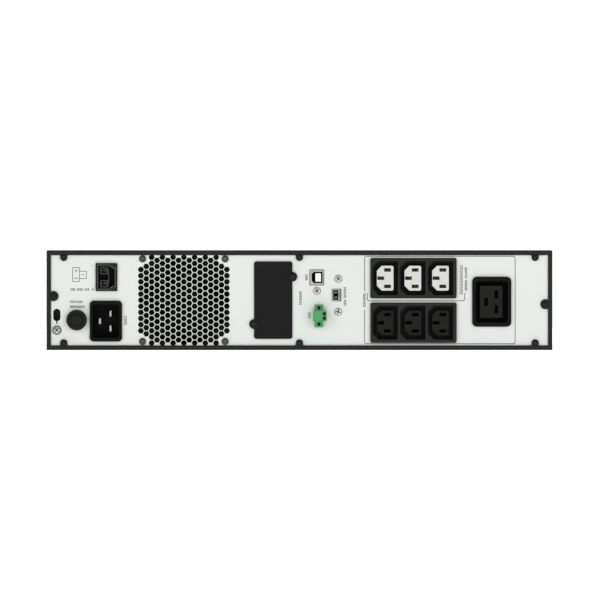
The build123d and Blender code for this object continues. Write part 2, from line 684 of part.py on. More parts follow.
with BuildPart() as terminal_plug:
    with BuildSketch(rear(PANEL - RUN)):
        with Locations((TERM_X, TERM_Z)):
            Rectangle(TERM_W, TERM_H)
    extrude(amount=5.2)
    with BuildSketch(rear(PANEL - RUN)):
        with Locations((TERM_X + 0.75, TERM_Z)):
            Rectangle(PLUG_BODY_W, PLUG_BODY_H)
    extrude(amount=PLUG_PROUD + SHEET - RUN)
    chamfer(terminal_plug.faces().sort_by(Axis.Y)[0].edges().sort_by(Axis.X)[0], 1.0)
    with BuildSketch(rear(PANEL - RUN)):
        with Locations((TERM_X, TERM_Z)):
            Rectangle(5.6 - 2 * RUN, 8.4 - 2 * RUN)
    extrude(amount=-(TONGUE - RUN))
    # wire entries beside the body's edge, and sockets for the header's pins
    with BuildSketch(rear(PANEL - PLUG_PROUD - SHEET)):
        with Locations([(TERM_X + 4.6, z) for z in POLES_Z]):
            Rectangle(2.9, 2.9)
    extrude(amount=-6, mode=Mode.SUBTRACT)
    with BuildSketch(rear(PANEL + TONGUE)):
        with Locations([(TERM_X, z) for z in POLES_Z]):
            Rectangle(1.7, 1.7)
    extrude(amount=6, mode=Mode.SUBTRACT)
    with BuildSketch(rear(PANEL - RUN)):
        with Locations((TERM_X, TERM_Z + 7.1), (TERM_X, TERM_Z - 7.1)):
            Circle(1.6)
    extrude(amount=6, mode=Mode.SUBTRACT)
save(terminal_plug, "terminal_plug")

with BuildPart() as terminal_screws:
    for side in (-1, 1):
        with BuildSketch(rear(PANEL + 3.5)):
            with Locations((TERM_X, TERM_Z + side * 7.1)):
                Circle(1.1)
        extrude(amount=8.2)
        with BuildSketch(rear(PANEL - 1.2)):
            with Locations((TERM_X, TERM_Z + side * 7.1)):
                Circle(1.5)
        extrude(amount=3.6)
        with BuildSketch(rear(PANEL - 4.8)):
            with Locations((TERM_X, TERM_Z + side * 7.1)):
                Rectangle(3.2, 0.6, rotation=60)
        extrude(amount=-0.8, mode=Mode.SUBTRACT)
save(terminal_screws, "terminal_screws")

# ---------------------------------------------------------------- power outlets
OUTLET_DEPTH = 19.0
OUTLET_FLOOR = PANEL - FLANGE_PROUD + 16.0
outlet_xs = [OUTLET_X + OUTLET_SHIFT + step * OUTLET_PITCH for step in (-1, 0, 1)]
CONTACT_SLOTS = ((2.0, 7.1), (2.0, -7.1), (-3.8, 0.0))  # line, neutral and earth, from an insert's centre
SLOT_SIZE = (5.9, 3.0)
CONTACT_TOP = 6.5  # the sprung contacts lie this far above the well's floor, deep in their slots

for row, z in (("upper", OUTLET_ROWS[0]), ("lower", OUTLET_ROWS[1])):
    with BuildPart() as outlet_block:
        with BuildSketch(rear(PANEL)):
            with Locations((OUTLET_X, z)):
                RectangleRounded(OUTLET_W, OUTLET_H, 1.7)
        extrude(amount=FLANGE_PROUD)
        fillet(outlet_block.faces().sort_by(Axis.Y)[0].edges(), 0.5)
        with BuildSketch(rear(PANEL)):
            with Locations((OUTLET_X, z)):
                RectangleRounded(OUTLET_W - 2 * CUT, OUTLET_H - 2 * CUT, 1.2)
        extrude(amount=-OUTLET_DEPTH)
        with BuildSketch(rear(PANEL - FLANGE_PROUD)):
            with Locations([(x, z) for x in outlet_xs]):
                add(earth_side_outline(*OUTLET_WELL, 5.2, 1.0))
        extrude(amount=-16, mode=Mode.SUBTRACT)
    save(outlet_block, f"outlet_block_{row}")

    with BuildPart() as outlet_inserts:
        with BuildSketch(rear(OUTLET_FLOOR)):
            with Locations([(x, z) for x in outlet_xs]):
                add(earth_side_outline(*OUTLET_INSERT, 4.2, 1.7))
        extrude(amount=14.8)
        fillet(outlet_inserts.faces().group_by(Axis.Y)[0].edges(), 0.4)
        with BuildSketch(rear(OUTLET_FLOOR - 14.8)):
            with Locations([(x + dx, z + dz) for x in outlet_xs for dx, dz in CONTACT_SLOTS]):
                Rectangle(*SLOT_SIZE)
        extrude(amount=-13, mode=Mode.SUBTRACT)
    save(outlet_inserts, f"outlet_inserts_{row}")

BIG_WELL = (27.2, 35.4)
BIG_INSERT = (19.8, 27.9)
BIG_SLOTS = ((4.4, 6.5), (4.4, -6.5), (-4.4, 0.0))
BIG_SLOT_SIZE = (3.2, 7.0)
# sprung contacts of all seven outlets
with BuildPart() as outlet_contacts:
    with BuildSketch(rear(OUTLET_FLOOR - CONTACT_TOP)):
        for z in OUTLET_ROWS:
            with Locations([(x + dx, z + dz + side * 0.95) for x in outlet_xs for dx, dz in CONTACT_SLOTS
                            for side in (-1, 1)]):
                Rectangle(4.6, 0.4)
        with Locations([(BIG_OUT_X - 0.5 + dx + side * 1.15, BIG_OUT_Z + dz) for dx, dz in BIG_SLOTS
                        for side in (-1, 1)]):
            Rectangle(0.4, 5.6)
    extrude(amount=-(CONTACT_TOP - 1.8))
save(outlet_contacts, "outlet_contacts")

with BuildPart() as large_outlet_housing:
    with BuildSketch(rear(PANEL)):
        with Locations((BIG_OUT_X, BIG_OUT_Z)):
            RectangleRounded(BIG_OUT_W, BIG_OUT_H, 4.2)
    extrude(amount=FLANGE_PROUD)
    fillet(large_outlet_housing.faces().sort_by(Axis.Y)[0].edges(), 0.8)
    with BuildSketch(rear(PANEL)):
        with Locations((BIG_OUT_X, BIG_OUT_Z)):
            RectangleRounded(BIG_OUT_W - 2 * CUT, BIG_OUT_H - 2 * CUT, 1.5)
    extrude(amount=-OUTLET_DEPTH)
    with BuildSketch(rear(PANEL - FLANGE_PROUD)):
        with Locations((BIG_OUT_X, BIG_OUT_Z)):
            RectangleRounded(*BIG_WELL, 2.4)
    extrude(amount=-16, mode=Mode.SUBTRACT)
    chamfer(large_outlet_housing.faces().sort_by(Axis.Y)[0].inner_wires()[0].edges(), 0.9)
save(large_outlet_housing, "large_outlet_housing")

with BuildPart() as large_outlet_insert:
    with BuildSketch(rear(OUTLET_FLOOR)):
        with Locations((BIG_OUT_X - 0.5, BIG_OUT_Z)):
            RectangleRounded(*BIG_INSERT, 1.2)
    extrude(amount=14.8)
    fillet(large_outlet_insert.faces().sort_by(Axis.Y)[0].edges(), 0.4)
    with BuildSketch(rear(OUTLET_FLOOR - 14.8)):
        with Locations([(BIG_OUT_X - 0.5 + dx, BIG_OUT_Z + dz) for dx, dz in BIG_SLOTS]):
            Rectangle(*BIG_SLOT_SIZE)
    extrude(amount=-13, mode=Mode.SUBTRACT)
save(large_outlet_insert, "large_outlet_insert")

# ---------------------------------------------------------------- electronics inside
BOARD_Z = 9.0
BOARD_Y = (PANEL_IN + 140, FRONT - BAY_DEPTH - 8)
board_mid = sum(BOARD_Y) / 2
board_long = BOARD_Y[1] - BOARD_Y[0]
with BuildPart() as circuit_boards:
    with BuildSketch(Plane.XY.offset(BOARD_Z)):
        with Locations((0, board_mid)):
            Rectangle(400, board_long)
    extrude(amount=1.6)
    # stand-offs are pressed into the board's mounting holes
    with BuildSketch(Plane.XY.offset(SHEET)):
        with Locations((0, board_mid)):
            with GridLocations(384, board_long - 12, 2, 2):
                RegularPolygon(3.2, 6)
    extrude(amount=BOARD_Z - SHEET)
    # upright board of the signal ports
    with BuildSketch(rear(PANEL + PORT_DEPTH)):
        with Locations((25.5, MID_Z + 1)):
            Rectangle(36, 62)
    extrude(amount=-1.6)
save(circuit_boards, "circuit_boards")

with BuildPart() as heat_sinks:
    with BuildSketch(rear(BOARD_Y[0] + 12)):
        for x in (-110, 20):
            with Locations((x, BOARD_Z + 1.6 + 30)):
                Rectangle(4, 60)
            with Locations((x, BOARD_Z + 1.6 + 31)):
                with GridLocations(1, 6.2, 1, 9):
                    Rectangle(44, 1.4)
            with Locations((x, BOARD_Z + 1.6 + 1.5)):
                Rectangle(44, 3)
    extrude(amount=-(board_long - 30))
save(heat_sinks, "heat_sinks")

with BuildPart() as capacitors:
    with BuildSketch(Plane.XY.offset(BOARD_Z + 1.6)):
        with Locations((-45, board_mid)):
            with GridLocations(26, 27, 3, 4):
                Circle(12)
        with Locations((90, board_mid)):
            with GridLocations(30, 30, 3, 3):
                Circle(9)
    extrude(amount=40)
    fillet(capacitors.faces().group_by(Axis.Z)[-1].edges(), 1.2)
save(capacitors, "capacitors")

CORE_X, CORE_Y, CORE_Z = DISPLAY_X + 1, FRONT - 200.0, SHEET + 40
with BuildPart() as transformer_core:
    with BuildSketch(rear(CORE_Y - 42)) as lamination:
        with Locations((CORE_X, CORE_Z)):
            Rectangle(102, 80)
            with GridLocations(50, 1, 2, 1):
                Rectangle(22, 46, mode=Mode.SUBTRACT)
    extrude(amount=-84)
save(transformer_core, "transformer_core")

with BuildPart() as transformer_coil:
    with BuildSketch(Plane.XY.offset(CORE_Z - 22)):
        with Locations((CORE_X, CORE_Y)):
            RectangleRounded(71, 118, 12)
            Rectangle(29, 85, mode=Mode.SUBTRACT)
    extrude(amount=44)
save(transformer_coil, "transformer_coil")

# ---------------------------------------------------------------- battery drawer
TRAY_Z = SHEET + 0.4
TRAY_BACK = FRONT - BAY_DEPTH + 4
TRAY_WALL = 42.0
TRAY_FACE = FRONT + 0.4  # the drawer's front plate closes against the case
BATTERY = (150.0, 94.0, 65.0)
CELL = (20.0, 76.0, 34.0)

with BuildPart() as battery_tray:
    with BuildSketch(Plane.XY.offset(TRAY_Z)):
        with Locations((tray_mid, (TRAY_BACK + TRAY_FACE) / 2)):
            Rectangle(tray_wide, TRAY_FACE - TRAY_BACK)
    extrude(amount=TRAY_WALL)
    with BuildSketch(Plane.XY.offset(TRAY_Z + SHEET)):
        with Locations((tray_mid, (TRAY_BACK + TRAY_FACE) / 2)):
            Rectangle(tray_wide - 2 * SHEET, TRAY_FACE - TRAY_BACK - 2 * SHEET)
    extrude(amount=TRAY_WALL, mode=Mode.SUBTRACT)
    with BuildSketch(front(TRAY_FACE)):
        with Locations((-tray_mid, MID_Z)):
            RectangleRounded(tray_wide + 4, HEIGHT - 7.4, 1.5)
        with Locations([(-x, THUMB_Z) for x in THUMB_XS]):
            Circle(SCREW_HOLE, mode=Mode.SUBTRACT)
        with Locations((-tray_mid, MID_Z)):
            with GridLocations(12, 24, 16, 2):
                SlotOverall(8, 3.4, mode=Mode.SUBTRACT)
    extrude(amount=SHEET)
    # bent pull handle
    with BuildSketch(Plane.XY.offset(MID_Z - 6)):
        with Locations((tray_mid, TRAY_FACE + SHEET + 6.5)):
            Rectangle(90, 13)
        with Locations((tray_mid, TRAY_FACE + SHEET + 5.5)):
            Rectangle(86, 11, mode=Mode.SUBTRACT)
    extrude(amount=12)
save(battery_tray, "battery_tray")

battery_places = [(tray_mid + sx * (BATTERY[0] / 2 + 0.4), TRAY_BACK + SHEET + 3 + (i + 0.5) * 103.5)
                  for sx in (-1, 1) for i in range(3)]
cell_places = [(x + (c - 2.5) * 23.6, y) for x, y in battery_places for c in range(6)]
with BuildPart() as battery_cases:
    with BuildSketch(Plane.XY.offset(TRAY_Z + SHEET)):
        with Locations(battery_places):
            RectangleRounded(BATTERY[0], BATTERY[1], 2)
    extrude(amount=BATTERY[2])
    with BuildSketch(Plane.XY.offset(TRAY_Z + SHEET + 8)):
        with Locations(cell_places):
            Rectangle(CELL[0], CELL[1])
    extrude(amount=CELL[2], mode=Mode.SUBTRACT)
save(battery_cases, "battery_cases")

with BuildPart() as battery_plates:
    with BuildSketch(Plane.XY.offset(TRAY_Z + SHEET + 8)):
        with Locations(cell_places):
            Rectangle(CELL[0], CELL[1])
    extrude(amount=CELL[2])
save(battery_plates, "battery_plates")

with BuildPart() as battery_terminals:
    for x, y in battery_places:
        with BuildSketch(front(y + BATTERY[1] / 2)):
            with Locations((-x - 62, TRAY_Z + SHEET + 46), (-x + 62, TRAY_Z + SHEET + 46)):
                Rectangle(6.3, 0.8)
        extrude(amount=6.5)
save(battery_terminals, "battery_terminals")

with BuildPart() as tray_screws:
    with Locations([(x, TRAY_FACE + SHEET, THUMB_Z) for x in THUMB_XS]):
        add(thumb_screw(4.0, 7.0, 2 * SHEET + 2))
save(tray_screws, "tray_screws")

# ---------------------------------------------------------------- front bezels and display
BEZEL_WALL = 2.5
BEZEL_FACE = FRONT + BEZEL_DEPTH
BEZEL_LOW, BEZEL_HIGH = 0.6, HEIGHT - 0.3
bezel_tall = BEZEL_HIGH - BEZEL_LOW
bezel_mid_z = (BEZEL_LOW + BEZEL_HIGH) / 2
DISPLAY_RADIUS = 33.5
DISPLAY_TURN = 90.0
COVER_GAP = 0.4


def bezel_outline(low_x, high_x, inset):
    """Rounded front-view outline between two x values, in front-plane coordinates."""
    with BuildSketch() as outline:
        with Locations((-(low_x + high_x) / 2, bezel_mid_z)):
            RectangleRounded(high_x - low_x - 2 * inset, bezel_tall - 2 * inset, 2.2)
    return outline.sketch


with BuildPart() as display_bezel:
    with BuildSketch(front(FRONT)):
        add(bezel_outline(BAY_SPLIT + COVER_GAP, HALF, 0))
    extrude(amount=BEZEL_DEPTH)
    fillet(display_bezel.faces().sort_by(Axis.Y)[-1].edges(), 2.0)
    with BuildSketch(front(FRONT)):
        add(bezel_outline(BAY_SPLIT + COVER_GAP, HALF, BEZEL_WALL))
    extrude(amount=BEZEL_DEPTH - BEZEL_WALL, mode=Mode.SUBTRACT)
    with BuildSketch(front(FRONT)):
        with Locations((-DISPLAY_X, MID_Z)):
            Circle(DISPLAY_RADIUS + RUN)
    extrude(amount=BEZEL_DEPTH, mode=Mode.SUBTRACT)
    with BuildSketch(front(BEZEL_FACE)):
        for side in (-1, 1):
            with Locations((-DISPLAY_X + side * 48, MID_Z)):
                with GridLocations(1, 7, 1, 9):
                    SlotOverall(16, 3)
    extrude(amount=-BEZEL_WALL, mode=Mode.SUBTRACT)
    # back web that carries the display, with four pins pressed through the case's front plate
    with BuildSketch(front(FRONT)):
        with Locations((-DISPLAY_X, MID_Z)):
            Circle(DISPLAY_RADIUS + 3)
            with GridLocations(1, 50, 1, 2):
                Rectangle(HALF - BAY_SPLIT - 2, 10)
            Circle(29.5, mode=Mode.SUBTRACT)
    extrude(amount=4)
    with BuildSketch(front(FRONT)):
        with Locations((-DISPLAY_X, MID_Z)):
            with PolarLocations(36, 4, start_angle=45):
                Circle(SCREW_HOLE - 0.05)
    extrude(amount=-(SHEET + 2.5))
    with BuildSketch(front(FRONT)):
        with Locations((-DISPLAY_X, MID_Z)):
            with GridLocations(110, 60, 2, 2):
                Rectangle(6, 6)
    extrude(amount=BEZEL_DEPTH - 1)
save(display_bezel, "display_bezel")

PANEL_T = 2.4  # display module's face thickness
DISPLAY_BACK = FRONT + 4 + RUN
BUTTON_ROW = MID_Z - 18.5
# from the display's centre, along -X
button_places = {"power": -17.0, "up": -5.5, "down": 5.5, "enter": 17.0}
BUTTON = (8.6, 5.4)
BUTTON_TRAVEL = 1.0
WINDOW = (44.0, 24.0)
WINDOW_Z = MID_Z + 6.0
with BuildPart() as display_housing:
    with BuildSketch(front(DISPLAY_BACK)):
        with Locations((-DISPLAY_X, MID_Z)):
            Circle(DISPLAY_RADIUS)
    extrude(amount=BEZEL_FACE + 0.6 - DISPLAY_BACK)
    fillet(display_housing.faces().sort_by(Axis.Y)[-1].edges(), 1.2)
    with BuildSketch(front(DISPLAY_BACK)):
        with Locations((-DISPLAY_X, MID_Z)):
            Circle(DISPLAY_RADIUS - 2)
    extrude(amount=BEZEL_FACE + 0.6 - DISPLAY_BACK - PANEL_T, mode=Mode.SUBTRACT)
    with BuildSketch(front(BEZEL_FACE + 0.6)):
        with Locations((-DISPLAY_X, WINDOW_Z)):
            RectangleRounded(WINDOW[0] - 3, WINDOW[1] - 3, 1)
        with Locations([(-DISPLAY_X + dx, BUTTON_ROW) for dx in button_places.values()]):
            RectangleRounded(BUTTON[0] + 2 * RUN, BUTTON[1] + 2 * RUN, 2)
    extrude(amount=-PANEL_T, mode=Mode.SUBTRACT)
    with BuildSketch(front(BEZEL_FACE + 0.6)):
        with Locations((-DISPLAY_X, WINDOW_Z)):
            RectangleRounded(WINDOW[0] + 0.2, WINDOW[1] + 0.2, 1.6)
    extrude(amount=-1.2, mode=Mode.SUBTRACT)
save(display_housing, "display_housing")

with BuildPart() as display_window:
    with BuildSketch(front(BEZEL_FACE + 0.6)):
        with Locations((-DISPLAY_X, WINDOW_Z)):
            RectangleRounded(*WINDOW, 1.5)
    extrude(amount=-1.2)
save(display_window, "display_window")

with BuildPart() as display_board:
    board_face = BEZEL_FACE + 0.6 - PANEL_T - 5.0
    with BuildSketch(front(board_face)):
        with Locations((-DISPLAY_X, MID_Z)):
            Circle(DISPLAY_RADIUS - 2.2)
    extrude(amount=-1.6)
    with BuildSketch(front(board_face)):
        with Locations((-DISPLAY_X, WINDOW_Z)):
            Rectangle(WINDOW[0] - 2, WINDOW[1] - 2)
    extrude(amount=4.8)
save(display_board, "display_board")

for name, dx in button_places.items():
    with BuildPart() as button:
        with BuildSketch(front(BEZEL_FACE + 0.6 - PANEL_T - 1.6)):
            with Locations((-DISPLAY_X + dx, BUTTON_ROW)):
                RectangleRounded(*BUTTON, 1.8)
        extrude(amount=PANEL_T + 1.6 + BUTTON_PROUD - 0.6)
        fillet(button.faces().sort_by(Axis.Y)[-1].edges(), 0.5)
        with BuildSketch(front(BEZEL_FACE + 0.6 - PANEL_T - 1.6)):
            with Locations((-DISPLAY_X + dx, BUTTON_ROW)):
                Rectangle(BUTTON[0] + 1.8, BUTTON[1] + 1.8)
        extrude(amount=1.6 - RUN)
    save(button, f"{name}_button")

with BuildPart() as battery_bezel:
    low_x, high_x = -HALF, BAY_SPLIT - COVER_GAP
    with BuildSketch(front(FRONT + COVER_GAP)):
        add(bezel_outline(low_x, high_x, 0))
    extrude(amount=BEZEL_DEPTH - COVER_GAP)
    fillet(battery_bezel.faces().sort_by(Axis.Y)[-1].edges(), 2.0)
    with BuildSketch(front(FRONT)):
        add(bezel_outline(low_x, high_x, BEZEL_WALL))
    extrude(amount=BEZEL_DEPTH - BEZEL_WALL, mode=Mode.SUBTRACT)
    with BuildSketch(front(BEZEL_FACE)):
        for centre, count in ((-(low_x + high_x) / 2 - 88, 3), (-(low_x + high_x) / 2 + 88, 3)):
            with Locations((centre, MID_Z)):
                with GridLocations(40, 7, count, 9):
                    SlotOverall(36, 3)
    extrude(amount=-BEZEL_WALL, mode=Mode.SUBTRACT)
    # finger grips pressed into the two ends
    for side in (low_x, high_x):
        with BuildSketch(Plane.YZ.offset(side)):
            with Locations((FRONT + 13, MID_Z)):
                SlotOverall(26, 9, rotation=90)
        extrude(amount=1.2, both=True, mode=Mode.SUBTRACT)
    # posts that locate on the drawer's front plate
    with BuildSketch(front(TRAY_FACE + SHEET + RUN)):
        with Locations((-(low_x + high_x) / 2, MID_Z)):
            with GridLocations(240, 60, 2, 2):
                Circle(3)
    extrude(amount=BEZEL_FACE - 1 - (TRAY_FACE + SHEET + RUN))
save(battery_bezel, "battery_bezel")
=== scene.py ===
"""Two-unit rack-mount uninterruptible power supply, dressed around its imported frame.

Metres. +X is to the right for someone who faces the socket panel, +Y runs from that panel to the front bezel,
+Z is up. Every finished piece sits at the origin with its place in its mesh.
"""
import math

import bpy
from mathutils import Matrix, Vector


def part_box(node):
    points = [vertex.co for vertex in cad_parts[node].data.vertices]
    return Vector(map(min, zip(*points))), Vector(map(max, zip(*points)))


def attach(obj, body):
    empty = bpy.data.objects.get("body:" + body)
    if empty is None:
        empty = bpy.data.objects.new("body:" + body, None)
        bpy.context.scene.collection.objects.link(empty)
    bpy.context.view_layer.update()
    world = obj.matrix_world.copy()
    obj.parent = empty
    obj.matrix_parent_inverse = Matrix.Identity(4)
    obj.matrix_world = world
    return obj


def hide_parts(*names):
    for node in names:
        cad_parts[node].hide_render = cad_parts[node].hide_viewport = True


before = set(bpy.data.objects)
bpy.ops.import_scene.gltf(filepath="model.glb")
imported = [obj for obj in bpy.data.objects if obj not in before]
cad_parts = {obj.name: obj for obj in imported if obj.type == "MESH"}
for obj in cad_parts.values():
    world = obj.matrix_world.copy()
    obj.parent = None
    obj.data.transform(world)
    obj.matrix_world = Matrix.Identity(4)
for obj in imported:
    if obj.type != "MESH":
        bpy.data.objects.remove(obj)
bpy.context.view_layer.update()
MM = 0.001

# ---------------------------------------------------------------- folded case
# The case is two folded sheets of 1.2 mm steel: a bottom pan with low walls, and a hood for roof and sides.
# Both are punched, bent and then powder coated in charcoal, so the coat rounds every edge.
# The plate behind the bezels is coated with them.


def linear(code):
    """An sRGB hex colour as linear RGBA."""
    parts = [int(code[i:i + 2], 16) / 255 for i in (1, 3, 5)]
    return [c / 12.92 if c <= 0.04045 else ((c + 0.055) / 1.055) ** 2.4 for c in parts] + [1.0]


def add(tree, kind, inputs=None, **settings):
    """Adds a node with its settings, and links or sets its inputs."""
    made = tree.nodes.new(kind)
    for name, value in settings.items():
        setattr(made, name, value)
    for key, value in (inputs or {}).items():
        if isinstance(value, bpy.types.Node):
            value = value.outputs[0]
        many = isinstance(value, tuple) and isinstance(value[0], bpy.types.NodeSocket)
        for one in value if many else (value,):
            if isinstance(one, bpy.types.NodeSocket):
                tree.links.new(one, made.inputs[key])
            else:
                made.inputs[key].default_value = one
    return made


def finish(name, dark, light, patch, grain, relief, rough, metallic=0.0, specular=0.5, coat=0.0):
    """A finish whose colour drifts between two hex values over patches. Its fine grain shows as relief and as
    changes of gloss. Sizes are in millimetres; rough is the (low, high) roughness."""
    material = bpy.data.materials.new(name)
    material.use_nodes = True
    tree = material.node_tree
    shader = tree.nodes["Principled BSDF"]
    place = object_place(tree)
    drift = add(tree, "ShaderNodeTexNoise", {"Vector": place, "Scale": 1 / (patch * MM), "Detail": 3.0})
    tint = add(tree, "ShaderNodeMix", {0: drift.outputs[0], 6: linear(dark), 7: linear(light)},
               data_type="RGBA")
    grains = add(tree, "ShaderNodeTexNoise", {"Vector": place, "Scale": 1 / (grain * MM), "Detail": 2.0})
    gloss = add(tree, "ShaderNodeMapRange", {0: grains.outputs[0], 1: 0.3, 2: 0.7, 3: rough[0], 4: rough[1]})
    bump = add(tree, "ShaderNodeBump", {
        "Height": grains.outputs[0], "Distance": relief * MM, "Strength": 1.0})
    tree.links.new(tint.outputs[2], shader.inputs["Base Color"])
    tree.links.new(gloss.outputs[0], shader.inputs["Roughness"])
    tree.links.new(bump.outputs[0], shader.inputs["Normal"])
    shader.inputs["Metallic"].default_value = metallic
    shader.inputs["Specular IOR Level"].default_value = specular
    shader.inputs["Coat Weight"].default_value = coat
    return material


def object_place(tree):
    """Each point's place in the object, so that patterns keep their real size."""
    return add(tree, "ShaderNodeTexCoord").outputs["Object"]


def recolour(material, share, low, high):
    """Colours a material from low to high by a share from 0 to 1."""
    tree = material.node_tree
    mixed = add(tree, "ShaderNodeMix", {0: share, 6: low, 7: high}, data_type="RGBA")
    tree.links.new(mixed.outputs[2], tree.nodes["Principled BSDF"].inputs["Base Color"])


def dress(material, *names):
    """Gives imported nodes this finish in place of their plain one."""
    for name in names:
        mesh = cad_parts[name].data
        mesh.materials.clear()
        mesh.materials.append(material)


# Baked polyester powder coat: soft sheen, with an orange peel of 0.4 mm that is drawn at 1.1 mm to show.
charcoal_coat = finish(
    "powder_coat_charcoal", "#1D1E1D", "#222322", 45, 1.1, 0.035, (0.52, 0.66), specular=0.2)
dress(charcoal_coat, "base_pan", "top_cover", "cover_edges", "front_plate")

# Electro-galvanised sheet left bare inside the case: grey crystals some 9 mm across.
spangle = finish("galvanised_sheet", "#8C9094", "#A7ABAE", 12, 2.0, 0.01, (0.32, 0.5), metallic=0.9)
tree = spangle.node_tree
crystals = add(tree, "ShaderNodeTexVoronoi", {"Vector": object_place(tree), "Scale": 1 / (9 * MM)})
recolour(spangle, crystals.outputs["Color"], linear("#868B90"), linear("#B4B8BA"))
dress(spangle, "bay_divider", "battery_tray")

# ---------------------------------------------------------------- socket panel
# The panel is a steel sheet punched on a turret press and wet-painted in a pale cool grey satin enamel.
# Its hexagon grille is punched straight into it, and the paint gathers in a soft bead round every hole.

# Acrylic stoving enamel: even, satin, with a faint long orange peel of about 3 mm.
pale_enamel = finish("stoved_enamel_pale_grey", "#DBDEDA", "#E1E4E0", 70, 3.0, 0.012, (0.4, 0.48))
PANEL_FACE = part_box("rear_panel")[0][1]
# The walls of every hole, from 0.08 mm behind the face, turn dark grey: uncoated steel of the punched edge,
# darkened further as painted shade in the holes.
tree = pale_enamel.node_tree
paint = tree.nodes["Principled BSDF"].inputs["Base Color"].links[0].from_socket
depth = add(tree, "ShaderNodeSeparateXYZ", {0: object_place(tree)}).outputs[1]
hole_wall_shade = add(tree, "ShaderNodeMapRange", {0: depth, 1: PANEL_FACE + 0.08 * MM, 2: PANEL_FACE + 0.2 * MM})
recolour(pale_enamel, hole_wall_shade, paint, linear("#353637"))
dress(pale_enamel, "rear_panel", "inlet_panel", "fan_grille")


def corners(node, unit=1.0):
    """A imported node's low and high corners, in metres or in another unit."""
    return [Vector(corner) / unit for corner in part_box(node)]


fan_low, fan_high = corners("fan_frame")
FAN_X, FAN_Z = (fan_low.x + fan_high.x) / 2, (fan_low.z + fan_high.z) / 2


def named_tree(name, floats, ints=(), materials=("Material",)):
    """A Geometry Nodes tree with named inputs, and its input and output nodes."""
    tree = bpy.data.node_groups.new(name, "GeometryNodeTree")
    tree.interface.new_socket("Geometry", in_out="OUTPUT", socket_type="NodeSocketGeometry")
    inputs = {"Geometry": ["Geometry"], "Float": floats, "Int": ints, "Material": materials}
    for kind, labels in inputs.items():
        for label in labels:
            tree.interface.new_socket(label, in_out="INPUT", socket_type="NodeSocket" + kind)
    return tree, tree.nodes.new("NodeGroupInput").outputs, tree.nodes.new("NodeGroupOutput")


def calc(tree, operation, *values):
    """Arithmetic on up to three values."""
    return add(tree, "ShaderNodeMath", dict(enumerate(values)), operation=operation)


def moved(tree, geometry, **how):
    """Geometry under a translation, rotation or scale."""
    how = {name.title(): value for name, value in how.items()}
    return add(tree, "GeometryNodeTransform", {"Geometry": geometry, **how})


def spread(tree, points, instance, **how):
    """One instance on every point."""
    how = {name.title(): value for name, value in how.items()}
    return add(tree, "GeometryNodeInstanceOnPoints", {"Points": points, "Instance": instance, **how})


def stand(name, data):
    """A new object for some data, in the scene."""
    made = bpy.data.objects.new(name, data)
    bpy.context.scene.collection.objects.link(made)
    return made


CREASE = math.radians(38)


def close_tree(tree, output, geometry, material, second=None):
    """Smooths all but the sharp edges, then ends the tree as the export needs it. Faces that already have the
    second material keep it."""
    real = add(tree, "GeometryNodeRealizeInstances", {0: geometry})
    smooth = add(tree, "GeometryNodeSetShadeSmooth", {"Geometry": real, "Shade Smooth": True}, domain="FACE")
    angle = add(tree, "GeometryNodeInputMeshEdgeAngle").outputs["Unsigned Angle"]
    crisp = add(tree, "FunctionNodeCompare", {0: angle, 1: CREASE}, operation="GREATER_THAN")
    edges = add(tree, "GeometryNodeSetShadeSmooth", {
        "Geometry": smooth, "Selection": crisp, "Shade Smooth": False}, domain="EDGE")
    painted = add(tree, "GeometryNodeSetMaterial", {"Geometry": edges, "Material": material})
    if second is not None:
        has_second = add(tree, "GeometryNodeMaterialSelection", {"Material": second})
        rest = add(tree, "FunctionNodeBooleanMath", {0: has_second}, operation="NOT")
        tree.links.new(rest.outputs[0], painted.inputs["Selection"])
    tree.links.new(painted.outputs[0], output.inputs[0])


def grow(name, tree, body, inputs, points, edges=()):
    """Runs a tree on points, keeps the result as a plain mesh, and lets it ride on a body."""
    seeds = bpy.data.meshes.new(name)
    seeds.from_pydata([Vector(p) for p in points], list(edges), [])
    piece = stand(name, seeds)
    modifier = piece.modifiers.new("make", "NODES")
    modifier.node_group = tree
    for item in tree.interface.items_tree:
        if item.in_out == "INPUT" and item.name in inputs:
            modifier[item.identifier] = inputs[item.name]
    graph = bpy.context.evaluated_depsgraph_get()
    made = bpy.data.meshes.new_from_object(piece.evaluated_get(graph))
    piece.modifiers.clear()
    piece.data = made
    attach(piece, body)
    return piece


tree, given, result = named_tree("punched_hexagon_rims", ("Across Flats", "Bead"))
corner_radius = calc(tree, "DIVIDE", given["Across Flats"], 2 * math.cos(math.pi / 6))
hexagon = add(tree, "GeometryNodeCurvePrimitiveCircle", {"Resolution": 6, "Radius": corner_radius})
section = add(tree, "GeometryNodeCurvePrimitiveCircle", {"Resolution": 6, "Radius": given["Bead"]})
rim = add(tree, "GeometryNodeCurveToMesh", {"Curve": hexagon, "Profile Curve": section})
upright = moved(tree, rim, rotation=(math.pi / 2, 0, 0))
copies = spread(tree, given["Geometry"], upright)
close_tree(tree, result, copies, given["Material"])

# The paint's bead round each hole is coloured mid grey: painted shade on the hole's edge.
edge_shade_enamel = finish("enamel_edge_painted_shade", "#747674", "#828482", 3, 0.6, 0.01, (0.4, 0.5))
HEX_COLUMN, HEX_ROW, HEX_FLATS = 4.65 * MM, 5.3 * MM, 4.5 * MM
hexagons = []
for column in range(-8, 9):
    rows = {8: 11, 7: 12}.get(abs(column), 15 - column % 2)
    for row in range(rows):
        hexagons.append((FAN_X + column * HEX_COLUMN, PANEL_FACE, FAN_Z + (row - (rows - 1) / 2) * HEX_ROW))
grow("grille_rims", tree, "case",
     {"Across Flats": HEX_FLATS + 0.14 * MM, "Bead": 0.09 * MM, "Material": edge_shade_enamel}, hexagons)

# ---------------------------------------------------------------- print on the panel
# Legends and frames are screen printed in one dark grey ink, a few hundredths of a millimetre thick.
# Lines are swept ribbons; each legend is a row of blank bars, because no words are printed here.

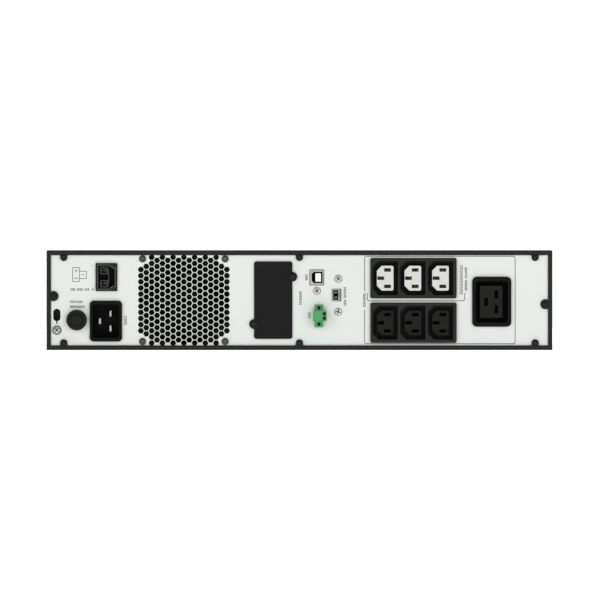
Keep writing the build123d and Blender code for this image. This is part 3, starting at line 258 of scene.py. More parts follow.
# Matt screen ink: slightly uneven cover where the mesh left its mark.
screen_ink = finish("screen_ink_grey", "#2C2E2C", "#3A3C3A", 6, 0.6, 0.004, (0.6, 0.75))


def vector(tree, x=0.0, y=0.0, z=0.0):
    """Three values as one vector."""
    return add(tree, "ShaderNodeCombineXYZ", {0: x, 1: y, 2: z})


tree, given, result = named_tree("printed_lines", ("Width", "Film", "Corner", "Face"))
path = add(tree, "GeometryNodeMeshToCurve", {"Mesh": given["Geometry"]})
soft_path = add(tree, "GeometryNodeFilletCurve", {
    "Curve": path, "Count": 6, "Radius": given["Corner"], "Limit Radius": True}, mode="POLY")
half_width = calc(tree, "DIVIDE", given["Width"], 2.0)
section = add(tree, "GeometryNodeCurvePrimitiveCircle", {"Resolution": 8, "Radius": half_width})
ribbon = add(tree, "GeometryNodeCurveToMesh", {
    "Curve": soft_path, "Profile Curve": section, "Fill Caps": True})
flatness = calc(tree, "DIVIDE", given["Film"], given["Width"])
flat_scale = vector(tree, 1.0, flatness, 1.0)
on_face = vector(tree, y=given["Face"])
laid = moved(tree, ribbon, translation=on_face, scale=flat_scale)
close_tree(tree, result, laid, given["Material"])
line_tree = tree


def printed(name, body, face, lines, material, width=0.55, corner=1.5, film=0.06):
    """Prints lines, each a list of (x, z) in millimetres, on the plane y = face. A line that ends where it
    began is closed."""
    points, edges = [], []
    for line in lines:
        first = len(points)
        closed = line[0] == line[-1]
        kept = line[:-1] if closed else line
        points += [(x * MM, 0, z * MM) for x, z in kept]
        edges += [(first + i, first + i + 1) for i in range(len(kept) - 1)]
        if closed:
            edges.append((first + len(kept) - 1, first))
    return grow(name, line_tree, body, {
        "Width": width * MM, "Film": film * MM, "Corner": corner * MM, "Face": face, "Material": material},
        points, edges)


printed("output_frame", "case", PANEL_FACE, [
    [(56.4, 51.0), (56.4, 81.3), (186.8, 81.3), (186.8, 5.5), (56.4, 5.5), (56.4, 35.0)],
    [(58.7, 49.6), (58.7, 42.7), (143.2, 42.7), (143.2, 49.6)],
], screen_ink, width=0.6, corner=2.0)
printed("battery_symbol", "case", PANEL_FACE, [
    [(-196.4, 59.3), (-196.4, 71.5), (-190.4, 71.5), (-190.4, 59.3), (-196.4, 59.3)],
    [(-190.4, 68.3), (-184.4, 68.3), (-184.4, 62.0), (-190.4, 62.0)],
    [(-194.6, 68.7), (-192.2, 68.7)], [(-193.4, 67.5), (-193.4, 69.9)],
    [(-195.2, 62.2), (-191.6, 62.2)], [(-189.0, 65.2), (-185.9, 65.2)],
    [(-179.7, 72.4), (-179.7, 73.6)], [(-179.9, 52.6), (-178.1, 52.6)], [(-179.0, 51.7), (-179.0, 53.5)],
], screen_ink, width=0.5, corner=0.4)

tree, given, result = named_tree("blank_legends", ("Cell", "Stroke", "Film", "Turn"), ints=("Seed",))
shortest = calc(tree, "MULTIPLY", given["Cell"], 0.5)
longest = calc(tree, "MULTIPLY", given["Cell"], 0.95)
reach = add(tree, "FunctionNodeRandomValue", {2: shortest, 3: longest, "Seed": given["Seed"]},
            data_type="FLOAT")
block = add(tree, "GeometryNodeMeshCube", {"Size": (1, 1, 1)})
bar_size = vector(tree, reach.outputs[1], given["Film"], given["Stroke"])
bar_turn = vector(tree, y=given["Turn"])
copies = spread(tree, given["Geometry"], block, rotation=bar_turn, scale=bar_size)
close_tree(tree, result, copies, given["Material"])
bar_tree = tree


def legend(name, x, z, cells, upright=False, height=1.9, cell=1.35, gaps=(), seed=0):
    """A legend of blank bars in place of words, centred on (x, z) in millimetres, read along X or upwards."""
    rows = (-height / 2 + 0.2, 0.0, height / 2 - 0.2)
    points = []
    for place in range(cells):
        if place in gaps:
            continue
        along = (place - (cells - 1) / 2) * cell
        for across in rows:
            dx, dz = (across, along) if upright else (along, across)
            points.append(((x + dx) * MM, PANEL_FACE - 0.02 * MM, (z + dz) * MM))
    return grow(name, bar_tree, "case", {
        "Cell": cell * MM, "Stroke": 0.5 * MM, "Film": 0.05 * MM, "Turn": math.pi / 2 if upright else 0.0,
        "Seed": seed, "Material": screen_ink}, points)


legend("legend_battery", -190.2, 52.5, 12, gaps=(3, 8), seed=1)
legend("legend_breaker_top", -193.4, 41.8, 8, seed=2)
legend("legend_breaker_low", -192.2, 37.6, 10, seed=3)
legend("legend_inlet", -150.6, 26.0, 6, upright=True, seed=4)
legend("legend_usb", 6.1, 63.0, 4, upright=True, seed=5)
legend("legend_slot", 0.9, 45.0, 9, upright=True, seed=6)
legend("legend_terminal", 8.7, 30.0, 4, upright=True, seed=7)
legend("legend_jack", 39.4, 46.5, 12, upright=True, gaps=(4,), seed=8)
legend("legend_output", 56.2, 43.2, 9, upright=True, seed=9)
legend("legend_rating", 140.2, 61.0, 19, upright=True, height=2.3, seed=10)
legend("legend_group", 144.2, 61.5, 15, upright=True, height=1.8, gaps=(7,), seed=11)

# ---------------------------------------------------------------- fan
# An 80 mm axial fan of glass-filled black plastic is screwed behind the grille: a square frame with struts,
# and a moulded impeller whose blades are steep at the hub and flatter towards their tips.

# Glass-filled polyester straight from the tool: dark, slightly streaky where the fibres come up.
fan_plastic = finish("glass_filled_polyester", "#050505", "#090909", 4, 0.8, 0.02, (0.6, 0.75),
                     specular=0.12)
dress(fan_plastic, "fan_frame", "card_guides")


def joined(tree, *parts):
    """Several geometries as one."""
    return add(tree, "GeometryNodeJoinGeometry", {0: tuple(part.outputs[0] for part in parts)})


def reshaped(tree, geometry, position):
    """Geometry with each point at a new position."""
    return add(tree, "GeometryNodeSetPosition", {"Geometry": geometry, "Position": position})


FAN_AXIS_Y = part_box("fan_rotor")[0][1]
ROTOR_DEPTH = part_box("fan_rotor")[1][1] - FAN_AXIS_Y
tree, given, result = named_tree(
    "axial_impeller", ("Root", "Tip", "Chord", "Root Pitch", "Tip Pitch", "Thickness", "Hub Radius",
    "Hub Depth"), ints=("Blades",))
sheet = add(tree, "GeometryNodeMeshGrid", {"Size X": 1.0, "Size Y": 1.0, "Vertices X": 7, "Vertices Y": 9})
at = add(tree, "ShaderNodeSeparateXYZ", {0: add(tree, "GeometryNodeInputPosition")})
outward = calc(tree, "ADD", at.outputs[0], 0.5)
radius = add(tree, "ShaderNodeMix", {0: outward, 2: given["Root"], 3: given["Tip"]}, data_type="FLOAT")
pitch = add(tree, "ShaderNodeMix", {0: outward, 2: given["Root Pitch"], 3: given["Tip Pitch"]},
            data_type="FLOAT")
along = calc(tree, "MULTIPLY", at.outputs[1], given["Chord"])
camber = calc(tree, "MULTIPLY", at.outputs[1], at.outputs[1])
camber = calc(tree, "MULTIPLY", camber, given["Chord"])
bow = calc(tree, "MULTIPLY", camber, 0.45)
sine = calc(tree, "SINE", pitch)
cosine = calc(tree, "COSINE", pitch)
across = calc(tree, "MULTIPLY", along, cosine)
across = calc(tree, "MULTIPLY_ADD", bow, sine, across)
deep = calc(tree, "MULTIPLY", along, sine)
spot = vector(tree, radius, deep, across)
blade = reshaped(tree, sheet, spot)
skin = add(tree, "GeometryNodeExtrudeMesh", {
    "Mesh": blade, "Offset Scale": given["Thickness"], "Individual": False}, mode="FACES")
back = add(tree, "GeometryNodeFlipFaces", {0: blade})
blade = joined(tree, skin, back)
blade = add(tree, "GeometryNodeMergeByDistance", {"Geometry": blade, "Distance": 0.00001})
ring = add(tree, "GeometryNodeMeshLine", {"Count": given["Blades"], "Offset": (0, 0, 0)})
step = calc(tree, "DIVIDE", 2 * math.pi, given["Blades"])
turn = calc(tree, "MULTIPLY", add(tree, "GeometryNodeInputIndex"), step)
blades = spread(tree, ring, blade, rotation=vector(tree, y=turn))
hub = add(tree, "GeometryNodeMeshCylinder", {
    "Vertices": 48, "Side Segments": 1, "Fill Segments": 1, "Radius": given["Hub Radius"],
    "Depth": given["Hub Depth"]})
hub = moved(tree, hub, rotation=(math.pi / 2, 0, 0))
impeller = joined(tree, blades, hub)
placed = spread(tree, given["Geometry"], impeller)
close_tree(tree, result, placed, given["Material"])
impeller = grow("fan_impeller", tree, "fan", {
    "Blades": 7, "Root": 15.5 * MM, "Tip": 35.2 * MM, "Chord": 19.5 * MM, "Root Pitch": math.radians(50),
    "Tip Pitch": math.radians(32), "Thickness": 1.2 * MM, "Hub Radius": 17 * MM, "Hub Depth": ROTOR_DEPTH,
    "Material": fan_plastic}, [(FAN_X, FAN_AXIS_Y + ROTOR_DEPTH / 2, FAN_Z)])
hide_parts("fan_rotor")

# Ground and hardened shaft, and the sintered bronze bush it turns in.
ground_steel = finish("ground_steel", "#A9ABAD", "#C2C4C5", 8, 0.5, 0.002, (0.2, 0.3), metallic=1.0)
bronze = finish("sintered_bronze", "#8A6A3C", "#A98550", 2, 0.5, 0.02, (0.4, 0.6), metallic=1.0)
dress(ground_steel, "fan_shaft")
dress(bronze, "fan_bearing")

# ---------------------------------------------------------------- screws
# Every screw head is cold formed with a domed pan and a cross recess, and its thread is rolled.
# Black ones hold the case and the slot's cover, dull zinc ones the fan, nickel ones the ports and earth.

# Black oxide over steel: dark, a little oily, and worn to grey in the recess. Zinc: grey and cloudy.
black_oxide = finish("black_oxide_steel", "#080909", "#0E0F0F", 3, 0.6, 0.01, (0.4, 0.56), metallic=0.2,
                     specular=0.25)
worn_oxide = finish("black_oxide_worn", "#414242", "#4F5050", 2, 0.5, 0.01, (0.36, 0.52), metallic=0.3)
dull_zinc = finish("zinc_passivated_steel", "#2C2D2D", "#3C3D3C", 2, 0.5, 0.01, (0.35, 0.5), metallic=0.5)
worn_zinc = finish("zinc_worn_recess", "#70726F", "#838582", 1.5, 0.5, 0.01, (0.35, 0.5), metallic=0.5)
# Nickel: bright and slightly warm. The recess and the washer under the head are a darker grey: painted shade.
nickel = finish("nickel_plated_steel", "#C3C4C1", "#DADBD8", 3, 0.5, 0.005, (0.28, 0.4), metallic=0.35)
shaded_nickel = finish("nickel_painted_shade", "#404240", "#565856", 1.5, 0.5, 0.005, (0.4, 0.55), metallic=0.3)


def cuboid(tree, *size):
    """A box of a given size round the origin."""
    return add(tree, "GeometryNodeMeshCube", {"Size": vector(tree, *size)})


tree, given, result = named_tree(
    "pan_head_screws", ("Head Radius", "Head Height", "Shank Radius", "Shank Length", "Thread Pitch",
    "Recess Reach", "Recess Width", "Washer Radius", "Washer Gauge"), ints=("Seed",),
    materials=("Material", "Recess Material"))
pan = add(tree, "GeometryNodeMeshCylinder", {
    "Vertices": 28, "Side Segments": 2, "Fill Segments": 5, "Radius": given["Head Radius"],
    "Depth": given["Head Height"]})
at = add(tree, "ShaderNodeSeparateXYZ", {0: add(tree, "GeometryNodeInputPosition")})
level = vector(tree, at.outputs[0], at.outputs[1])
off_axis = add(tree, "ShaderNodeVectorMath", {0: level}, operation="LENGTH")
share = calc(tree, "DIVIDE", off_axis.outputs["Value"], given["Head Radius"])
cubed = calc(tree, "POWER", share, 3.0)
crown = calc(tree, "MULTIPLY_ADD", cubed, -0.5, 1.0)
lift = calc(tree, "MULTIPLY_ADD", given["Head Height"], 0.5, at.outputs[2])
height = calc(tree, "MULTIPLY", lift, crown)
domed = reshaped(tree, pan, vector(tree, at.outputs[0], at.outputs[1], height))
arm = calc(tree, "MULTIPLY", given["Recess Reach"], 2.0)
wings = []
for size in ((arm, given["Recess Width"]), (given["Recess Width"], arm)):
    wing = cuboid(tree, size[0], size[1], given["Head Height"])
    up = calc(tree, "MULTIPLY", given["Head Height"], 0.82)
    wings.append(moved(tree, wing, translation=vector(tree, z=up)))
driven = add(tree, "GeometryNodeMeshBoolean", {"Mesh 1": domed}, operation="DIFFERENCE", solver="EXACT")
for wing in wings:
    worn = add(tree, "GeometryNodeSetMaterial", {"Geometry": wing, "Material": given["Recess Material"]})
    tree.links.new(worn.outputs[0], driven.inputs["Mesh 2"])
raised = moved(tree, driven, translation=vector(tree, z=given["Washer Gauge"]))
washer = add(tree, "GeometryNodeMeshCylinder", {
    "Vertices": 28, "Radius": given["Washer Radius"], "Depth": given["Washer Gauge"]})
half_gauge = calc(tree, "MULTIPLY", given["Washer Gauge"], 0.5)
washer = moved(tree, washer, translation=vector(tree, z=half_gauge))
washer = add(tree, "GeometryNodeSetMaterial", {"Geometry": washer, "Material": given["Recess Material"]})
turns = calc(tree, "DIVIDE", given["Shank Length"], given["Thread Pitch"])
rows = calc(tree, "MULTIPLY", turns, 2.0)
shank = add(tree, "GeometryNodeMeshCylinder", {
    "Vertices": 12, "Side Segments": rows, "Radius": given["Shank Radius"], "Depth": given["Shank Length"]})
phase = calc(tree, "DIVIDE", at.outputs[2], given["Thread Pitch"])
phase = calc(tree, "MULTIPLY", phase, 2 * math.pi)
wave = calc(tree, "COSINE", phase)
narrow = calc(tree, "MULTIPLY_ADD", wave, 0.05, 0.95)
swell = add(tree, "ShaderNodeVectorMath", {
    0: add(tree, "GeometryNodeInputPosition"), 1: vector(tree, narrow, narrow, 1.0)}, operation="MULTIPLY")
thread = reshaped(tree, shank, swell)
sunk = calc(tree, "MULTIPLY", given["Shank Length"], -0.5)
thread = moved(tree, thread, translation=vector(tree, z=sunk))
screw = joined(tree, raised, washer, thread)
screw = moved(tree, screw, rotation=(math.pi / 2, 0, 0))
spin = add(tree, "FunctionNodeRandomValue", {2: 0.0, 3: math.pi, "Seed": given["Seed"]}, data_type="FLOAT")
copies = spread(tree, given["Geometry"], screw, rotation=vector(tree, y=spin.outputs[1]))
close_tree(tree, result, copies, given["Material"], given["Recess Material"])
screw_tree = tree


def screws(node, seat, head, height, length, places, material, recess_material, seed, washer=0.3,
           recess=0.66, width=0.22):
    """Pan-head screws at (x, z) places in millimetres, on washers that lie on the plane y = seat."""
    spots = [(x * MM, seat, z * MM) for x, z in places]
    made = grow(node + "_made", screw_tree, "case", {
        "Head Radius": (head - washer) * MM, "Head Height": (height - 0.2) * MM,
        "Shank Radius": 1.5 * MM, "Shank Length": length * MM, "Thread Pitch": 0.7 * MM,
        "Washer Radius": head * MM, "Washer Gauge": 0.2 * MM,
        "Recess Reach": head * recess * MM, "Recess Width": head * width * MM, "Seed": seed,
        "Material": material, "Recess Material": recess_material}, spots)
    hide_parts(node)
    return made


FLANGE_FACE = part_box("top_cover")[0][1]
FLAT_X = 204.1
edge_places = [(x, z) for x in (-FLAT_X, 0.0, FLAT_X) for z in (6.3, 80.2)] + [(-213.0, 46.7), (213.0, 39.7)]
screws("cover_screws", FLANGE_FACE, 2.8, 1.9, 6.5, edge_places, black_oxide, worn_oxide, 3,
       washer=0.1)
FAN_HALF_PITCH = 35.75
fan_screw_places = [(FAN_X / MM + sx * FAN_HALF_PITCH, FAN_Z / MM + sz * FAN_HALF_PITCH)
                    for sx in (-1, 1) for sz in (-1, 1)]
screws("fan_screws", PANEL_FACE, 3.12, 2.0, 12, fan_screw_places, dull_zinc, worn_zinc, 5,
       washer=0.15, width=0.3)
screws("slot_cover_screws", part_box("slot_cover")[0][1], 3.4, 2.3, 7, [(-6.1, 63.55), (-39.3, 22.55)],
       black_oxide, worn_oxide, 7, washer=0.1)
screws("comm_screws", PANEL_FACE, 3.35, 1.8, 8, [(15.1, 51.3), (33.6, 61.7), (33.6, 33.1)], nickel,
       shaded_nickel, 21, washer=0.4, width=0.26)
WASHER_GAUGE = 0.6 * MM
EARTH_X, EARTH_Z = -210.0, 17.3
screws("ground_screw", PANEL_FACE - WASHER_GAUGE, 3.3, 2.2, 7, [(EARTH_X, EARTH_Z)], nickel, shaded_nickel,
       4, washer=0.6, width=0.3)

# Toothed lock washer under the earth screw, punched from spring steel with its teeth twisted out of flat.
tree, given, result = named_tree("toothed_washer", ("Bore", "Rim", "Reach", "Gauge"), ints=("Teeth",))
middle = calc(tree, "ADD", given["Bore"], given["Rim"])
middle = calc(tree, "MULTIPLY", middle, 0.5)
wide = calc(tree, "SUBTRACT", given["Rim"], given["Bore"])
loop = add(tree, "GeometryNodeCurvePrimitiveCircle", {"Resolution": 40, "Radius": middle})
section = add(tree, "GeometryNodeCurvePrimitiveQuadrilateral", {"Width": wide, "Height": given["Gauge"]})
band = add(tree, "GeometryNodeCurveToMesh", {"Curve": loop, "Profile Curve": section})
tooth = cuboid(tree, given["Reach"], 0.75 * MM, given["Gauge"])
tooth = moved(tree, tooth, rotation=(0.5, 0, 0), translation=vector(tree, given["Rim"]))
spots = add(tree, "GeometryNodeMeshLine", {"Count": given["Teeth"], "Offset": (0, 0, 0)})
step = calc(tree, "DIVIDE", 2 * math.pi, given["Teeth"])
turn = calc(tree, "MULTIPLY", add(tree, "GeometryNodeInputIndex"), step)
teeth = spread(tree, spots, tooth, rotation=vector(tree, z=turn))
whole = joined(tree, band, teeth)
whole = moved(tree, whole, rotation=(math.pi / 2, 0, 0))
copies = spread(tree, given["Geometry"], whole)
close_tree(tree, result, copies, given["Material"])
spring_steel = finish("spring_steel_dark", "#7E807E", "#949694", 3, 0.5, 0.006, (0.4, 0.55), metallic=0.4)
grow("earth_washer", tree, "case", {
    "Bore": 1.7 * MM, "Rim": 3.6 * MM, "Teeth": 14, "Reach": 1.6 * MM, "Gauge": 0.45 * MM,
    "Material": spring_steel}, [(EARTH_X * MM, PANEL_FACE - WASHER_GAUGE / 2, EARTH_Z * MM)])

# ---------------------------------------------------------------- expansion slot
# A blank of coated steel closes the slot for a network card.
# It laps the opening and has an ear at two corners, where the black screws hold it.

# The same powder as the case in black, with a finer texture.
black_coat = finish("powder_coat_black", "#0B0B0B", "#100F0F", 40, 0.9, 0.02, (0.5, 0.62), specular=0.2)
dress(black_coat, "slot_cover")

# ---------------------------------------------------------------- mains sockets
# Inlet and outlets are self-extinguishing nylon, injection moulded and snapped into the panel from outside.
# The outlets in the upper row carry white inserts, the others black ones. Blades are nickel-plated brass.

# Black nylon with an eroded texture: the real grain is 0.2 mm, drawn at 0.9 to show.
black_nylon = finish("nylon_black_eroded", "#151514", "#1B1B1A", 9, 0.9, 0.02, (0.42, 0.56), specular=0.3)
insert_nylon = finish("nylon_black_smooth", "#111110", "#161615", 6, 0.7, 0.01, (0.44, 0.54), specular=0.18)
# White urea: dense and faintly warm, with a dull polish.
white_urea = finish("urea_white", "#CDCDCA", "#D6D6D3", 5, 1.0, 0.008, (0.38, 0.46))
# Nickel over brass, polished along the blade.
plated_brass = finish("nickel_plated_brass", "#CBCAC6", "#E2E1DD", 2, 0.4, 0.004, (0.22, 0.34), metallic=0.85)
# Sprung contacts of phosphor bronze, coloured near-black: painted shade deep in their slots.
phosphor_bronze = finish(
    "phosphor_bronze_painted_shade", "#211C16", "#2E2820", 3, 0.5, 0.006, (0.5, 0.65), metallic=0.6)
dress(black_nylon, "outlet_block_upper", "outlet_block_lower")
# The two 16 A housings are of a denser, deep black grade.
deep_nylon = finish("nylon_deep_black", "#080808", "#0D0D0D", 9, 0.9, 0.015, (0.45, 0.6), specular=0.13)
dress(deep_nylon, "inlet_housing", "large_outlet_housing")
dress(insert_nylon, "outlet_inserts_lower", "large_outlet_insert")
dress(white_urea, "outlet_inserts_upper")
dress(plated_brass, "terminal_pins")

tree, given, result = named_tree("tapered_blades", ("Width", "Height", "Length", "Taper", "Tip Share"))
bar = cuboid(tree, given["Width"], given["Length"], given["Height"])
tip_radius = calc(tree, "MULTIPLY", given["Tip Share"], math.sqrt(0.5))
tip = add(tree, "GeometryNodeMeshCone", {
    "Vertices": 4, "Radius Top": tip_radius, "Radius Bottom": math.sqrt(0.5), "Depth": given["Taper"]})
tip = moved(tree, tip, rotation=(math.pi / 2, math.pi / 4, 0))
end = calc(tree, "MULTIPLY", given["Length"], -0.5)
tip = moved(
    tree, tip, translation=vector(tree, y=end), scale=vector(tree, given["Width"], 1.0, given["Height"]))
blade = joined(tree, bar, tip)
copies = spread(tree, given["Geometry"], blade)
close_tree(tree, result, copies, given["Material"])
low, high = corners("inlet_pins")
BLADE_W, BLADE_H, BLADE_TAPER = 2.0 * MM, 5.9 * MM, 1.2 * MM
line_x, earth_x = high.x - BLADE_W / 2, low.x + BLADE_W / 2
blade_y = (low.y + BLADE_TAPER + high.y) / 2
blades = grow("inlet_blades", tree, "case", {
    "Width": BLADE_W, "Height": BLADE_H, "Length": high.y - low.y - BLADE_TAPER, "Taper": BLADE_TAPER,
    "Tip Share": 0.72, "Material": plated_brass},
    [(line_x, blade_y, high.z - BLADE_H / 2), (line_x, blade_y, low.z + BLADE_H / 2),
     (earth_x, blade_y, (low.z + high.z) / 2)])
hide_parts("inlet_pins")
dress(worn_oxide, "battery_socket_contacts")
dress(phosphor_bronze, "outlet_contacts", "jack_contacts", "battery_terminals")

# ---------------------------------------------------------------- external battery socket
# A keyed two-pole socket in dark grey polycarbonate. Shrouds round its contacts keep fingers off live metal.

# Near-black polycarbonate with a matt eroded face.
grey_polycarbonate = finish(
    "polycarbonate_near_black", "#171717", "#1F1F1E", 6, 0.8, 0.012, (0.4, 0.52), specular=0.25)
dress(grey_polycarbonate, "battery_socket")
# Rounded rims on the cavity's edge and on the two shrouds, coloured a lighter grey: painted highlight along
# the rims.
rim_highlight_polycarbonate = finish("polycarbonate_rim_painted_highlight", "#3C3C3B", "#4A4A48", 3, 0.6, 0.01, (0.35, 0.48))
low, high = corners("battery_socket", MM)
bx, bz = (low.x + high.x) / 2, (low.z + high.z) / 2
cavity = [(-7.6, 10.4), (1.7, 10.4), (5.7, 8.0), (7.6, 8.0), (7.6, -8.0), (5.7, -8.0), (1.7, -10.4),
          (-7.6, -10.4)]
printed("socket_cavity_rim", "case", low.y * MM, [[(bx + x, bz + z) for x, z in cavity + cavity[:1]]],
        rim_highlight_polycarbonate, width=0.75, corner=0.4, film=0.3)
shrouds = []
for side in (-1, 1):
    middle = bz + side * 5.7
    shrouds.append([(bx - 5.4, middle + 2.7), (bx + 0.6, middle + 2.7), (bx + 1.6, middle + 1.4),
                    (bx + 1.6, middle - 1.4), (bx + 0.6, middle - 2.7), (bx - 5.4, middle - 2.7)])
    shrouds.append([(bx - 4.6, middle + 1.4), (bx - 4.6, middle - 1.4)])
    shrouds.append([(bx - 2.2, middle + 1.0), (bx - 0.2, middle + 1.0), (bx - 0.2, middle - 1.0)])
shrouds.append([(bx + 1.9, bz + 4.3), (bx + 1.9, bz - 4.3)])
printed("socket_shroud_rims", "case", low.y * MM + 0.75 * MM, shrouds, rim_highlight_polycarbonate, width=0.6,
        corner=0.4, film=0.35)

# ---------------------------------------------------------------- circuit breaker
# A thermal breaker with a collar that screws on from outside and a push button that resets it.
# Both are moulded in the same phenolic as the body behind the panel.

# Phenolic: very dark, denser and glossier than the nylon.
phenolic = finish("phenolic_black", "#131313", "#181818", 5, 0.8, 0.012, (0.46, 0.6), specular=0.2)
dress(phenolic, "breaker_nut", "breaker_button", "breaker_body")

# ---------------------------------------------------------------- signal ports
# A square data socket in a plated shell, a small modular jack and a green two-pole plug.
# All are soldered to one board that stands behind the panel on three screws.

# Bright tin over steel, brushed dull by handling.
tin = finish("tin_plated_steel", "#B0B1AF", "#BEBFBD", 4, 0.6, 0.006, (0.4, 0.52), metallic=0.3)
dress(tin, "usb_shell")
# Natural white nylon of the data socket's tongue.
white_nylon = finish("nylon_white", "#F0F0EE", "#F8F8F6", 4, 0.7, 0.006, (0.35, 0.45))
dress(white_nylon, "usb_tongue")
# Grey nylon of the jack's body, and the paler polished edge of its mouth.
grey_nylon = finish("nylon_grey", "#8E918E", "#9EA19E", 5, 0.7, 0.01, (0.4, 0.5))
pale_nylon = finish("nylon_pale_edge", "#BCBEBC", "#C6C8C6", 3, 0.6, 0.006, (0.4, 0.5))
dress(grey_nylon, "jack_housing")
# Green polyamide of pluggable terminals: strong colour, satin.
green_polyamide = finish("polyamide_green", "#439557", "#4DA162", 6, 0.8, 0.012, (0.4, 0.52))
dress(green_polyamide, "terminal_plug", "terminal_header")
dress(black_oxide, "terminal_screws")


def lined(name, corners, face, depth, material):
    """The dark inside of a port: a thin tube along Y with a floor, from its outline in (x, z) millimetres."""
    ring = [Vector((x * MM, 0, z * MM)) for x, z in corners]
    count = len(ring)
    centre = sum(ring, Vector()) / count
    inner = [centre + (p - centre) * 0.955 for p in ring]
    mouth, floor = face, face + depth * MM
    vertices = [Vector((p.x, mouth, p.z)) for p in ring] + [Vector((p.x, mouth, p.z)) for p in inner]
    vertices += [Vector((p.x, floor, p.z)) for p in ring] + [Vector((p.x, floor - 0.3 * MM,
                                                                     p.z)) for p in inner]
    faces = []
    for i in range(count):
        j = (i + 1) % count
        faces.append((i, j, count + j, count + i))
        faces.append((count + i, count + j, 3 * count + j, 3 * count + i))
        faces.append((j, i, 2 * count + i, 2 * count + j))
    faces.append(tuple(range(3 * count, 4 * count)))
    faces.append(tuple(reversed(range(2 * count, 3 * count))))
    mesh = bpy.data.meshes.new(name)
    mesh.from_pydata(vertices, [], faces)
    mesh.materials.append(material)
    piece = stand(name, mesh)
    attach(piece, "case")
    return piece


def cut_corner_outline(x, z, width, height, cut):
    """Port outline with the two corners on the -X side cut off, as (x, z) going round anticlockwise."""
    w, h = width / 2, height / 2
    return [(x + w, z - h), (x + w, z + h), (x - w + cut, z + h), (x - w, z + h - cut), (x - w, z - h + cut),
            (x - w + cut, z - h)]


def ring_of(node, out=-0.1):
    """A node's outline on the panel, as a closed line in millimetres a little outside it."""
    low, high = corners(node, MM)
    left, right, bottom, top = low.x - out, high.x + out, low.z - out, high.z + out
    return [(left, bottom), (right, bottom), (right, top), (left, top), (left, bottom)]


# A dark ribbon round each port, just in front of the panel, is a painted shadow of the gap between cut-out
# and shell.
port_gap = finish("port_gap_shadow", "#2A2B2A", "#343534", 4, 0.6, 0.004, (0.6, 0.75), specular=0.2)
printed("port_gap_painted_shadows", "case", PANEL_FACE - 0.45 * MM, [ring_of("usb_shell"), ring_of("jack_housing", 0.1)],
        port_gap, width=0.55, corner=0.2, film=0.25)
USB_MIDDLE, JACK_MIDDLE = (15.3, 62.9), (31.4, 47.7)
# The data socket's liner is a dark sheet inside its shell: painted shade.
lined("usb_painted_shade_liner", cut_corner_outline(*USB_MIDDLE, 9.36, 9.86, 1.9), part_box("usb_shell")[0][1] + 0.3 * MM,
      12.4, insert_nylon)
jack_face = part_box("jack_housing")[0][1]
printed("jack_latch_ledges", "case", jack_face + 1.6 * MM, [
    [(JACK_MIDDLE[0] - 1.2, JACK_MIDDLE[1] + side * 2.1), (JACK_MIDDLE[0] + 1.3, JACK_MIDDLE[1] + side * 2.1)]
    for side in (-1, 1)], grey_nylon, width=1.1, corner=0.1, film=0.8)
printed("jack_mouth_rim", "case", jack_face, [
    [(JACK_MIDDLE[0] - 2.6, JACK_MIDDLE[1] - 4.5), (JACK_MIDDLE[0] + 2.6, JACK_MIDDLE[1] - 4.5),
     (JACK_MIDDLE[0] + 2.6, JACK_MIDDLE[1] + 4.5), (JACK_MIDDLE[0] - 2.6, JACK_MIDDLE[1] + 4.5),
     (JACK_MIDDLE[0] - 2.6, JACK_MIDDLE[1] - 4.5)]], pale_nylon, width=0.6, corner=0.2, film=0.3)
# The jack's liner is a dark sheet inside its mouth: painted shade.
lined("jack_painted_shade_liner", cut_corner_outline(*JACK_MIDDLE, 4.96, 8.76, 0.1), jack_face + 0.3 * MM, 10.5,
      insert_nylon)

# Behind the clamp's slot stands a pressed pocket of the same steel as the case.
pocket_x, pocket_z = -210.1, 30.4
lined("clamp_pocket", cut_corner_outline(pocket_x, pocket_z, 7.0, 12.0, 0.5), PANEL_FACE + 1.3 * MM, 5.5,
      charcoal_coat)

# ---------------------------------------------------------------- power electronics
# The boards are glass-epoxy laminate under green mask, with finned aluminium, cans in dark sleeves,
# and a laminated transformer whose coil is enamelled copper. All of it is behind the covers.

# Solder mask over tracks: the tracks stand a shade lighter every 2.5 mm.
solder_mask = finish("glass_epoxy_green_mask", "#0F3D22", "#17502E", 15, 1.2, 0.01, (0.25, 0.38))
tree = solder_mask.node_tree
tracks = add(tree, "ShaderNodeTexBrick", {
    "Vector": object_place(tree), "Scale": 1 / (5 * MM), "Color1": linear("#134A29"),
    "Color2": linear("#0E3A20"), "Mortar": linear("#2C7446"), "Mortar Size": 0.03})
tree.links.new(tracks.outputs["Color"], tree.nodes["Principled BSDF"].inputs["Base Color"])
dress(solder_mask, "circuit_boards", "display_board")
# Extruded aluminium, drawn lines along the fins.
extruded = finish("aluminium_extruded", "#A9ACAE", "#BFC1C2", 20, 1.0, 0.008, (0.3, 0.45), metallic=1.0)
dress(extruded, "heat_sinks")
# Glossy shrunk sleeves on the cans.
sleeve = finish("shrink_sleeve_navy", "#10182C", "#18223A", 8, 1.0, 0.01, (0.25, 0.35))
dress(sleeve, "capacitors")
# Silicon-steel laminations under varnish: 0.5 mm sheets, drawn as 2 mm bands.
laminated = finish("varnished_laminations", "#3A3835", "#4A4845", 10, 1.0, 0.02, (0.35, 0.5), metallic=0.5)
tree = laminated.node_tree
bands = add(tree, "ShaderNodeTexWave", {
    "Vector": object_place(tree), "Scale": 1 / (6.3 * MM), "Distortion": 0.4}, bands_direction="Y")
recolour(laminated, bands.outputs["Fac"], linear("#2E2C2A"), linear("#565350"))
dress(laminated, "transformer_core")
# Copper wire under red-brown enamel.
enamelled = finish("enamelled_copper", "#6B2F14", "#9A4A22", 6, 1.2, 0.05, (0.25, 0.4), metallic=0.7)
dress(enamelled, "transformer_coil")

